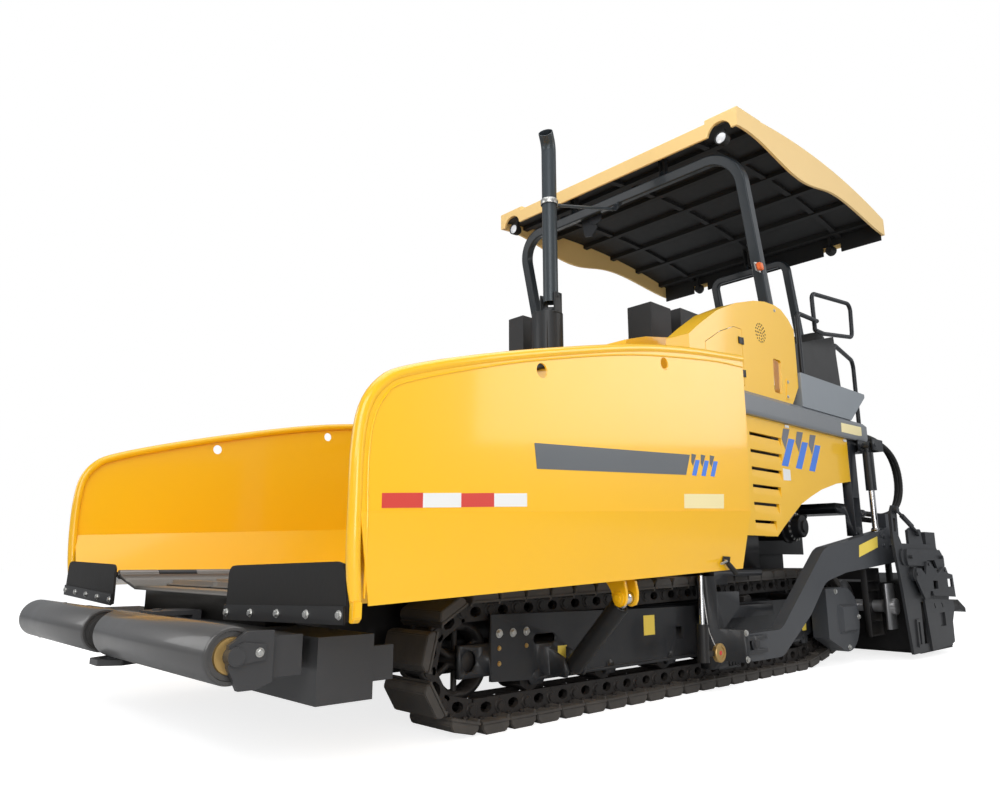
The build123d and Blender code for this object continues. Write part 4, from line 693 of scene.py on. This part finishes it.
def wing_outside(side):
    """The upright outer sheet with its two holes, cut to the line of the bead."""
    curve = bpy.data.curves.new("wing_outside", "CURVE")
    curve.dimensions = "2D"
    curve.fill_mode = "BOTH"
    curve.extrude = 0.004
    edge = [(point.x, point.z) for point in smooth_line(bead_points, 6) if point.z > knee_front]
    outline = [(3.05, knee_front)] + edge + [(0.54, 1.5), (0.566, knee_rear)]
    loops = [outline]
    for x, z in ((2.188, 1.513), (1.305, 1.699)):
        angles = [math.pi * corner / 16 for corner in range(32)]
        loops.append([(x + 0.032 * math.cos(angle), z + 0.032 * math.sin(angle)) for angle in angles])
    for loop in loops:
        spline = curve.splines.new("POLY")
        spline.points.add(len(loop) - 1)
        for knot, (x, z) in zip(spline.points, loop):
            knot.co = (x, z, 0.0, 1.0)
        spline.use_cyclic_u = True
    holder = stand("wing_outside", curve)
    bpy.context.view_layer.update()
    flat = bpy.data.meshes.new_from_object(holder.evaluated_get(bpy.context.evaluated_depsgraph_get()))
    bpy.data.objects.remove(holder)
    form = bmesh.new()
    form.from_mesh(flat)
    for vertex in form.verts:
        x, z, deep = vertex.co
        vertex.co = (x, side * (wing_face - 0.004 + deep), z)
    return form


def bent_sheet(form, front, rear, thickness):
    """A thick sheet ruled between two bent edges, front and rear."""
    rows = []
    for edge in (front, rear):
        near = [form.verts.new(point) for point in edge]
        far = []
        for index, point in enumerate(edge):
            before = Vector(edge[max(index - 1, 0)])
            after = Vector(edge[min(index + 1, len(edge) - 1)])
            run = after - before
            far.append(form.verts.new(Vector(point) + Vector((0.0, -run.z, run.y)).normalized() * thickness))
        rows.append((near, far))
    (near_front, far_front), (near_rear, far_rear) = rows
    for index in range(len(front) - 1):
        form.faces.new((near_front[index], near_front[index + 1], near_rear[index + 1], near_rear[index]))
        form.faces.new((far_front[index], far_rear[index], far_rear[index + 1], far_front[index + 1]))
        form.faces.new((near_front[index], far_front[index], far_front[index + 1], near_front[index + 1]))
        form.faces.new((near_rear[index], near_rear[index + 1], far_rear[index + 1], far_rear[index]))
    for index in (0, len(front) - 1):
        form.faces.new((near_front[index], near_rear[index], far_rear[index], far_front[index]))


def slanted(outline, step_x, step_z, count):
    """The same mark repeated in even steps along the face."""
    return [[(x + step_x * index, z + step_z * index) for x, z in outline] for index in range(count)]


tick_top = [(1.107, 1.266), (1.066, 1.264), (1.099, 1.205), (1.113, 1.224)]
tick_low = [(1.075, 1.238), (1.036, 1.239), (1.075, 1.157), (1.113, 1.157)]
segments = [(2.967, 2.796, 0.908), (2.796, 2.622, 0.9175), (2.622, 2.459, 0.927), (2.459, 2.283, 0.936)]
tapes = [[(front, z + 0.002), (rear, z + 0.011), (rear, z + 0.063), (front, z + 0.052)]
         for front, rear, z in segments]
wing_films = (
    ("wing_band", [[(2.225, 1.1), (2.238, 1.204), (1.123, 1.259), (1.165, 1.155)]], band_grey, "grey_paint"),
    ("wing_ticks_grey", slanted(tick_top, -0.085, 0.004, 3), band_grey, "grey_paint"),
    ("wing_ticks_blue", slanted(tick_low, -0.085, 0.004, 3), tick_blue, "grey_paint"),
    ("tape_red", tapes[0::2], tape_red, "yellow_paint"),
    ("tape_white", tapes[1::2], tape_white, "yellow_paint"),
    ("wing_plate", [[(1.195, 0.99), (0.833, 1.005), (0.825, 1.08), (1.191, 1.06)]], plate_pale,
     "yellow_paint"),
)
for side_name, side in both_sides:
    wing = f"hopper_wing_{side_name}"
    skin = fit_piece(f"wing_outside_{side_name}", to_mesh("wing_outside", wing_outside(side)), yellow_enamel,
        wing)
    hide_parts(f"wing_{side_name}")
    form = bmesh.new()
    bent_sheet(form, [(3.05, side * wing_face, knee_front), (2.99, side * 1.573, 0.596)],
        [(0.566, side * wing_face, knee_rear), (0.641, side * 1.573, 0.7)], side * 0.004)
    fit_form(f"wing_lower_{side_name}", form, yellow_enamel, wing)
    form = bmesh.new()
    bent_sheet(form, [(3.045, side * 1.591, knee_front), (3.045, side * 1.45, 0.6),
        (3.045, side * 0.75, 0.666)],
        [(0.58, side * 1.591, knee_rear), (0.58, side * 1.45, 0.712), (0.58, side * 0.75, 0.666)],
        side * 0.009)
    fit_piece(f"wing_floor_{side_name}", to_mesh("wing_floor", form, 10.0), yellow_enamel, wing)
    form = bmesh.new()
    tube_along(form, [Vector((x, side * y, z)) for x, y, z in smooth_line(bead_points, 8)], 0.03, (0.024,),
        20)
    tube_along(form, [Vector((x, side * y, z)) for x, y, z in smooth_line(press_points, 8)], 0.03, (0.0045,),
        10)
    fit_form(f"wing_bead_{side_name}", form, yellow_enamel, wing)
    form = bmesh.new()
    step = (hinge_front - hinge_rear) / hinge_knuckles
    for index in range(hinge_knuckles):
        start = hinge_rear + index * step
        turned(form, [(0.0, 0.0146), (0.0, 0.024), (step / 2, 0.024), (step / 2, 0.0146), (0.0, 0.0146)],
            (start, side * hinge_y, hinge_z), (1, 0, 0), 24)
        prism(form, [(side * 0.735, hinge_z - 0.004), (side * 0.75, hinge_z - 0.004),
            (side * 0.752, hinge_z + 0.006), (side * 0.745, hinge_z + 0.02)], start + 0.002,
            start + step / 2 - 0.002, plane="front")
    fit_form(f"wing_hinge_{side_name}", form, frame_enamel, wing)
    form = bmesh.new()
    ear = [(1.35, 0.672), (1.385, 0.665), (1.43, 0.64), (1.455, 0.605), (1.462, 0.565), (1.475, 0.543),
        (1.5, 0.534), (1.525, 0.543), (1.538, 0.565), (1.54, 0.6), (1.53, 0.65), (1.5, 0.66), (1.46, 0.672)]
    for low in (1.501, 1.581):
        prism(form, [(side * y, z) for y, z in ear], low, low + 0.018, plane="front", soften=0.002)
    for way, start in ((-1, 1.501), (1, 1.599)):
        turned(form, [(-0.0175, 0.0), (-0.0175, 0.03), (0.006, 0.03), (0.008, 0.024), (0.008, 0.017),
            (0.014, 0.016), (0.014, 0.0)], (start, side * 1.5, 0.575), (way, 0, 0), 28)
    fit_form(f"wing_clevis_{side_name}", form, yellow_enamel, wing)
    for label, outlines, paint, paint_slot in wing_films:
        film(f"{label}_{side_name}", outlines, wing_face, side, paint, wing)
    form = bmesh.new()
    flap_edge = ((0.692, 0.516), (0.69, 0.56), (0.695, 0.69), (0.704, 0.708), (0.722, 0.719), (0.76, 0.722),
        (1.505, 0.737), (1.54, 0.73), (1.56, 0.705), (1.574, 0.6), (1.572, 0.548))
    prism(form, [(side * y, z) for y, z in flap_edge], 3.058, 3.07, plane="front", soften=0.002)
    flap = fit_form(f"flap_rubber_{side_name}", form, flap_rubber, wing)
    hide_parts(f"flap_{side_name}")
    strip = [(side * 0.69, 0.511), (side * 0.69, 0.569), (side * 1.568, 0.598), (side * 1.572, 0.54)]
    plate(f"flap_strip_{side_name}", strip, 3.0695, 3.078, black_enamel, wing, "front", 0.0015)
    flap_spots = [(3.078, side * (0.715 + 0.207 * index), 0.541 + 0.0072 * index) for index in range(5)]
    corner_edge = ((1.576, 0.545), (1.59, 0.545), (1.604, 0.56), (1.604, 0.612), (1.576, 0.612))
    corner = [(side * y, z) for y, z in corner_edge]
    plate(f"flap_corner_{side_name}", corner, 3.03, 3.062, yellow_enamel, wing, "front",
        0.003)
    bolts(f"flap_bolts_{side_name}", flap_spots, (1, 0, 0), 0.011, zinc_steel, wing)
    # The lever slot is a black film on the closed sheet; its colour is painted shade in place of an opening.
    film(f"lever_slot_{side_name}", [[(0.86, 0.727), (0.79, 0.722), (0.778, 0.76), (0.847, 0.762)]], 1.5875,
        side, painted_hole_shade, wing)
    form = bmesh.new()
    tube_along(form, [Vector((0.835, side * 1.575, 0.745)), Vector((0.85, side * 1.61, 0.738)),
        Vector((0.93, side * 1.625, 0.725))], 0.02, (0.006,), 10)
    fit_form(f"lock_lever_{side_name}", form, zinc_steel, wing)
    grip = [(0.0, 0.0), (0.0, 0.01), (0.006, 0.013), (0.085, 0.014), (0.094, 0.01), (0.096, 0.0)]
    lathe(f"lever_grip_{side_name}", grip, (0.835, side * 1.606, 0.726), (-0.83, 0.0, -0.55), 16,
        rubber_black, wing)

# Wing cylinders: black barrels, chromed rods and a yellow clevis.
chrome_rod = finish("chrome_rod", (0.75, 0.75, 0.76), 0.12, metal=1.0, dust=0.05, bump=0.0)
dress(black_enamel, "wing_cylinder_left", "wing_cylinder_right")
dress(chrome_rod, "wing_rod_left", "wing_rod_right")

# Bodywork: pressed yellow panels over the engine, with louvres, a service door, a horn behind
# a perforated disc, and grey beams under the platform.
body_yellow = finish("body_yellow", (0.95, 0.54, 0.015), 0.28, dust=0.0, drift=0.04, gloss=0.6)
platform_grey = finish("platform_grey", (0.18, 0.192, 0.205), 0.36, dust=0.08, gloss=0.3)
dress(body_yellow, "hopper_back", "engine_panels", "cowls", "cowl_door_left", "cowl_door_right", "hood",
    rounding=0.003)
dress(platform_grey, "side_beams", "platform_deck", rounding=0.003)
dress(black_enamel, "engine_block")
tick_grey = finish("tick_grey", (0.15, 0.16, 0.19), 0.4, dust=0.05, bump=0.0)
body_face = 1.2


def horn_hole():
    """A shallow dished hole, one unit across."""
    form = bmesh.new()
    turned(form, [(0.0, 0.0), (0.0, 0.9), (0.08, 1.0), (0.16, 1.0), (0.16, 0.0)], (0, 0, -0.1), (0, 0, 1), 12)
    return to_mesh("horn_hole", form)


horn_x = -0.466
horn_z = 2.311
horn_spots = [(horn_x, horn_z)]
for ring, count in ((0.024, 6), (0.046, 11), (0.066, 16)):
    for step in range(count):
        angle = 2 * math.pi * step / count
        horn_spots.append((horn_x + ring * math.cos(angle), horn_z + ring * math.sin(angle)))
for side_name, side in both_sides:
    turn = Vector((0, side, 0)).to_track_quat("Z", "Y").to_euler()
    # The horn disc's holes are shallow dishes whose near-black colour is painted shade standing in for their
    # depth.
    lay_out(f"horn_holes_{side_name}", horn_hole(), [(x, side * body_face, z) for x, z in horn_spots],
        [turn] * len(horn_spots), painted_hole_shade, "chassis", 0.0068)
    film(f"cowl_plate_{side_name}", [[(-0.776, 1.88), (-0.815, 1.88), (-0.834, 2.03), (-0.795, 2.03)]],
        body_face, side, body_yellow, "chassis", 0.004)
    bolts(f"cowl_bolts_{side_name}",
        [(-0.696, side * body_face, 2.528), (-0.812, side * (body_face + 0.004), 2.01),
        (-0.797, side * (body_face + 0.004), 1.898)], (0, side, 0), 0.009, zinc_steel, "chassis")
    tick_top = [(-0.691, 1.655), (-0.785, 1.659), (-0.699, 1.505), (-0.657, 1.577)]
    tick_low = [(-0.759, 1.589), (-0.85, 1.591), (-0.719, 1.386), (-0.628, 1.387)]
    film(f"panel_ticks_grey_{side_name}", slanted(tick_top, -0.205, 0.0, 3), body_face, side, tick_grey,
        "chassis")
    film(f"panel_ticks_blue_{side_name}", slanted(tick_low, -0.206, -0.002, 3), body_face, side, tick_blue,
        "chassis")
    film(f"panel_plate_{side_name}", [[(-0.64, 1.285), (-0.745, 1.29), (-0.745, 1.365), (-0.64, 1.368)]],
        body_face, side, tape_white, "chassis")
    film(f"beam_label_{side_name}",
        [[(-1.57, 1.725), (-1.575, 1.798), (-1.95, 1.806), (-1.95, 1.735), (-1.89, 1.728)]], 1.24, side,
        plate_pale, "chassis")
    for index, x in enumerate((-0.741, -1.7)):
        plate(f"panel_clip_{side_name}_{index}", sheet_corners(x - 0.028, x + 0.028, 1.664, 1.684),
            side * 1.1995, side * 1.207, tape_white, "chassis", soften=0.002)
    for z in (1.97, 2.198):
        form = bmesh.new()
        prism(form, sheet_corners(-0.2035, -0.15, z - 0.0235, z + 0.0235), side * 1.1995, side * 1.2085,
            soften=0.002)
        turned(form, [(-0.024, 0.0), (-0.024, 0.0068), (0.024, 0.0068), (0.024, 0.0)],
            (-0.203, side * 1.2058, z), (0, 0, 1), 16)
        fit_form(f"door_hinge_{side_name}_{int(z * 100)}", form, frame_enamel, f"door_{side_name}")

# Platform: step boxes, consoles, seats and bent tube rails.
box_grey = finish("box_grey", (0.22, 0.245, 0.27), 0.38, dust=0.05, gloss=0.3)
black_plastic = finish("black_plastic", (0.012, 0.012, 0.013), 0.5, dust=0.08, grain_scale=420.0, bump=0.2)
seat_cover = finish("seat_cover", (0.02, 0.02, 0.021), 0.6, dust=0.05, grain_scale=500.0, bump=0.3)
dress(box_grey, "step_boxes", rounding=0.004)
dress(black_plastic, "hood_boxes", "consoles", rounding=0.006)
dress(frame_enamel, "handrails")


def cushion(name, low, high, thin, channels):
    """A crowned pad between two corners, pulled in along its sewn channels."""
    form = bmesh.new()
    bmesh.ops.create_cube(form, size=2.0)
    bmesh.ops.subdivide_edges(form, edges=form.edges[:], cuts=15, use_grid_fill=True)
    low = Vector(low)
    high = Vector(high)
    others = [axis for axis in range(3) if axis != thin]
    for vertex in form.verts:
        point = vertex.co.copy()
        spread = sum(abs(value) ** 5 for value in point) ** 0.2
        point = point * (max(abs(value) for value in point) / spread)
        edge = max(abs(point[others[0]]), abs(point[others[1]]))
        point[thin] *= 1.0 - 0.3 * edge ** 4
        for line in channels:
            point[thin] *= 1.0 - 0.16 * math.exp(-((point[others[1]] - line) / 0.05) ** 2)
        for axis in range(3):
            vertex.co[axis] = (low[axis] + high[axis]) / 2 + point[axis] * (high[axis] - low[axis]) / 2
    return to_mesh(name, form, 80.0)


for side_name, side in both_sides:
    y_low, y_high = sorted((side * 0.465, side * 0.845))
    seat = fit_piece(f"seat_cushion_{side_name}",
        cushion("seat_cushion", (-2.35, y_low, 2.17), (-1.9, y_high, 2.29), 2, (-0.55, 0.55)), seat_cover,
        "chassis")
    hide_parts("seats")
    back = fit_piece(f"seat_back_{side_name}",
        cushion("seat_back", (-2.4, y_low, 2.23), (-2.29, y_high, 2.8), 0, (-0.45, 0.0, 0.45)), seat_cover,
        "chassis")
    form = bmesh.new()
    y_low, y_high = sorted((side * 0.56, side * 0.75))
    prism(form, [(-2.25, 1.8503), (-2.0, 1.8503), (-2.02, 1.9), (-2.06, 2.1), (-2.0, 2.165), (-2.25, 2.165),
        (-2.19, 2.1), (-2.23, 1.9)], y_low, y_high, soften=0.006)
    fit_form(f"seat_stand_{side_name}", form, frame_enamel, "chassis")

# Canopy: a moulded pale yellow shell on two folding arches, black and ribbed beneath, with
# round lamps in its front corners and at the rear.
shell_plastic = finish("shell_plastic", (0.93, 0.64, 0.25), 0.4, dust=0.04, drift=0.04, grain_scale=260.0,
    bump=0.05, gloss=0.3)
lining_black = finish("lining_black", (0.0065, 0.007, 0.0075), 0.6, dust=0.0, grain_scale=300.0, bump=0.2)
arch_enamel = finish("arch_enamel", (0.02, 0.026, 0.032), 0.32, dust=0.08, gloss=0.2, shine=0.28)
lamp_white = finish("lamp_white", (0.8, 0.82, 0.85), 0.12, dust=0.02, bump=0.0, gloss=0.9)
lamp_amber = finish("lamp_amber", (0.85, 0.16, 0.015), 0.2, dust=0.03, bump=0.0, gloss=0.8)
dress(shell_plastic, "canopy", rounding=0.006)
dress(lining_black, "canopy_lining", rounding=0.003)
dress(arch_enamel, "front_arch", "rear_arch")
plate("marker_bracket", [(-0.585, 2.8), (-0.52, 2.8), (-0.5, 2.86), (-0.565, 2.87)], 1.1695, 1.178,
    zinc_steel, "arch_front", soften=0.002)
plate("marker_lamp", [(-0.578, 2.808), (-0.53, 2.808), (-0.512, 2.855), (-0.56, 2.862)], 1.1775, 1.212,
    lamp_amber, "arch_front", soften=0.006)
form = bmesh.new()
prism(form, [(-0.2, 3.79), (-0.34, 3.835), (-0.345, 3.67), (-0.275, 3.63), (-0.215, 3.65)], -0.494, -0.482,
    plane="front", soften=0.002)
prism(form, [(-0.29, 3.735), (-0.46, 3.77), (-0.41, 3.56), (-0.325, 3.545), (-0.265, 3.61)], -0.506, -0.4935,
    plane="front", soften=0.002)
fit_form("arch_plates", form, frame_enamel, "arch_front")
lamp_form = bmesh.new()
rim_form = bmesh.new()
for x, y, z, way in ((-0.355, 1.1, 3.798, 1), (-2.908, 0.755, 3.76, -1)):
    for side in (1, -1):
        start = x if way > 0 else x + 0.068
        reach = 0.08 if way > 0 else 0.068
        turned(rim_form, [(0.0, 0.0), (0.0, 0.03), (0.02, 0.046), (reach - 0.01, 0.05), (reach, 0.05),
            (reach, 0.043), (reach - 0.012, 0.041), (reach - 0.012, 0.0)], (start, side * y, z), (way, 0, 0),
            40)
        turned(lamp_form, [(reach - 0.011, 0.0), (reach - 0.011, 0.041), (reach - 0.006, 0.041),
            (reach - 0.002, 0.03), (reach, 0.0)], (start, side * y, z), (way, 0, 0), 40)
        stem_x = start + way * 0.025
        stem_top = 3.885 if way > 0 else 3.888
        prism(rim_form, sheet_corners(stem_x - 0.012, stem_x + 0.012, z + 0.04, stem_top), side * y - 0.012,
            side * y + 0.012)
lamps = fit_piece("canopy_lamp_rims", to_mesh("lamp_rims", rim_form), lining_black, "roof")
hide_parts("canopy_lamps")
fit_piece("canopy_lamp_glasses", to_mesh("lamp_glasses", lamp_form), lamp_white, "roof")

# Exhaust: a steel muffler on the hood's shelf and a pipe that folds with the canopy.
pipe_steel = finish("pipe_steel", (0.055, 0.066, 0.074), 0.34, metal=0.35, dust=0.1, gloss=0.1, shine=0.28)
muffler_steel = finish("muffler_steel", (0.034, 0.036, 0.038), 0.42, metal=0.3, dust=0.12, gloss=0.1,
    shine=0.28)
dress(pipe_steel, "exhaust_pipe", "exhaust_stay")
dress(muffler_steel, "muffler")
lathe("exhaust_clamp", [(-0.02, 0.0628), (-0.02, 0.0665), (-0.017, 0.068), (0.017, 0.068), (0.02, 0.0665),
    (0.02, 0.0628), (-0.02, 0.0628)], (0.405, 0.0, 3.44), (0, 0, 1), 48, zinc_steel, "exhaust")

# Drive bay: behind the panel's arch stand the conveyor's drive drum, black with a ring of bright
# bolts, and the bay's inner wall. Before the tow point hang a chromed feeler rod and its gauge.
gauge_red = finish("gauge_red", (0.6, 0.02, 0.015), 0.3, dust=0.0, bump=0.0, gloss=0.6)
for side_name, side in both_sides:
    form = bmesh.new()
    prism(form, [(-0.86, 0.79), (-1.86, 0.79), (-1.86, 1.66), (-0.86, 1.66)], side * 0.7, side * 0.712,
        soften=0.002)
    for index, (x, z) in enumerate(((-1.5, 1.28), (-1.58, 1.12), (-1.45, 1.4))):
        prism(form, sheet_corners(x - 0.11, x + 0.11, z - 0.05, z + 0.05), side * 0.71,
            side * (0.8 + 0.05 * index), soften=0.006)
    fit_form(f"bay_wall_{side_name}", form, black_enamel, "chassis")
    lathe(f"drive_drum_{side_name}",
        [(-0.38, 0.0), (-0.38, 0.1), (-0.14, 0.1), (-0.13, 0.118), (-0.11, 0.122), (-0.1, 0.108),
        (-0.06, 0.108), (-0.05, 0.085), (0.0, 0.08), (0.008, 0.07), (0.008, 0.045), (0.02, 0.043),
        (0.02, 0.0)], (-1.102, side * 1.09, 0.988), (0, side, 0), 48, black_enamel, "chassis")
    drum_angles = [math.pi * step / 8 for step in range(16)]
    drum_spots = [(-1.102 + 0.096 * math.cos(angle), side * 1.031, 0.988 + 0.096 * math.sin(angle))
                  for angle in drum_angles]
    bolts(f"drum_bolts_{side_name}", drum_spots, (0, side, 0), 0.008, zinc_steel, "chassis")
    form = bmesh.new()
    tube_along(form, [Vector((0.618, side * 1.3, 0.66)), Vector((0.63, side * 1.3, 0.349))], 0.1, (0.014,),
        16)
    tube_along(form, [Vector((0.618, side * 1.3, 0.655)), Vector((0.57, side * 1.302, 0.36)),
        Vector((0.49, side * 1.302, 0.25))], 0.03, (0.004,), 8)
    fit_form(f"feeler_rod_{side_name}", form, chrome_rod, "chassis")
    form = bmesh.new()
    tube_along(form, [Vector((0.628, side * 1.3, 0.4)), Vector((0.632, side * 1.3, 0.2))], 0.1, (0.034,), 20)
    prism(form, sheet_corners(0.44, 0.64, 0.225, 0.255), side * 1.285, side * 1.305, soften=0.003)
    fit_form(f"feeler_foot_{side_name}", form, black_enamel, "chassis")
    lathe(f"feeler_gauge_{side_name}",
        [(0.0, 0.0), (0.0, 0.05), (0.022, 0.052), (0.026, 0.048), (0.026, 0.034), (0.022, 0.033),
        (0.022, 0.0)], (0.477, side * 1.292, 0.239), (0, side, 0), 36, brass, "chassis")
    form = bmesh.new()
    turned(form, [(0.02, 0.0), (0.02, 0.014), (0.024, 0.012), (0.0245, 0.0)], (0.477, side * 1.292, 0.239),
        (0, side, 0), 20)
    fit_form(f"gauge_centre_{side_name}", form, gauge_red, "chassis")

# Drive guards, tow points, tow arms and lift cylinders: thick plate in dark grey enamel.
arm_grey = finish("arm_grey", (0.048, 0.052, 0.059), 0.36, dust=0.1, gloss=0.15, shine=0.28)
dress(arm_grey, "tow_arms", "drive_guards", rounding=0.004)
dress(frame_enamel, "tow_guides", "lift_posts", "lift_cylinder_left", "lift_cylinder_right")
dress(chrome_rod, "lift_rod_left", "lift_rod_right")
guard_spots = [(-1.235, 1.225, 0.524), (-1.394, 1.225, 0.129), (-1.595, 1.225, 0.333)]
arm_spots = [(-1.93, 1.338, 0.925), (-2.05, 1.338, 0.93), (-1.91, 1.338, 0.858), (-2.04, 1.338, 0.86)]
tow_spots = [(0.27, 1.358, 0.335), (0.27, 1.358, 0.19)]
for side_name, side in both_sides:
    bolts(f"guard_bolts_{side_name}", on_side(guard_spots, side), (0, side, 0), 0.014, zinc_steel, "chassis")
    bolts(f"arm_bolts_{side_name}", on_side(arm_spots, side), (0, side, 0), 0.013, arm_grey, "screed")
    bolts(f"tow_bolts_{side_name}", on_side(tow_spots, side), (0, side, 0), 0.013, zinc_steel, "chassis")
    film(f"arm_label_{side_name}", [[(-1.43, 0.765), (-1.79, 0.842), (-1.8, 0.925), (-1.45, 0.852)]], 1.338,
        side, label_film, "screed")

# Screed and augers: heated plate work in dark enamel, worn bright where the mix rubs it.
screed_dark = finish("screed_dark", (0.01, 0.01, 0.0115), 0.42, dust=0.12, grain_scale=80.0, bump=0.1,
    shine=0.25)
screed_grey = finish("screed_grey", (0.026, 0.028, 0.032), 0.38, dust=0.12, gloss=0.1, shine=0.28)
worn_steel = finish("worn_steel", (0.3, 0.3, 0.31), 0.36, metal=0.8, dust=0.25, grain_scale=120.0, bump=0.05)
dress(screed_dark, "screed_body", "screed_walkway", "auger_carrier")
dress(screed_grey, "screed_ends", rounding=0.002)
dress(worn_steel, "auger_left", "auger_right")
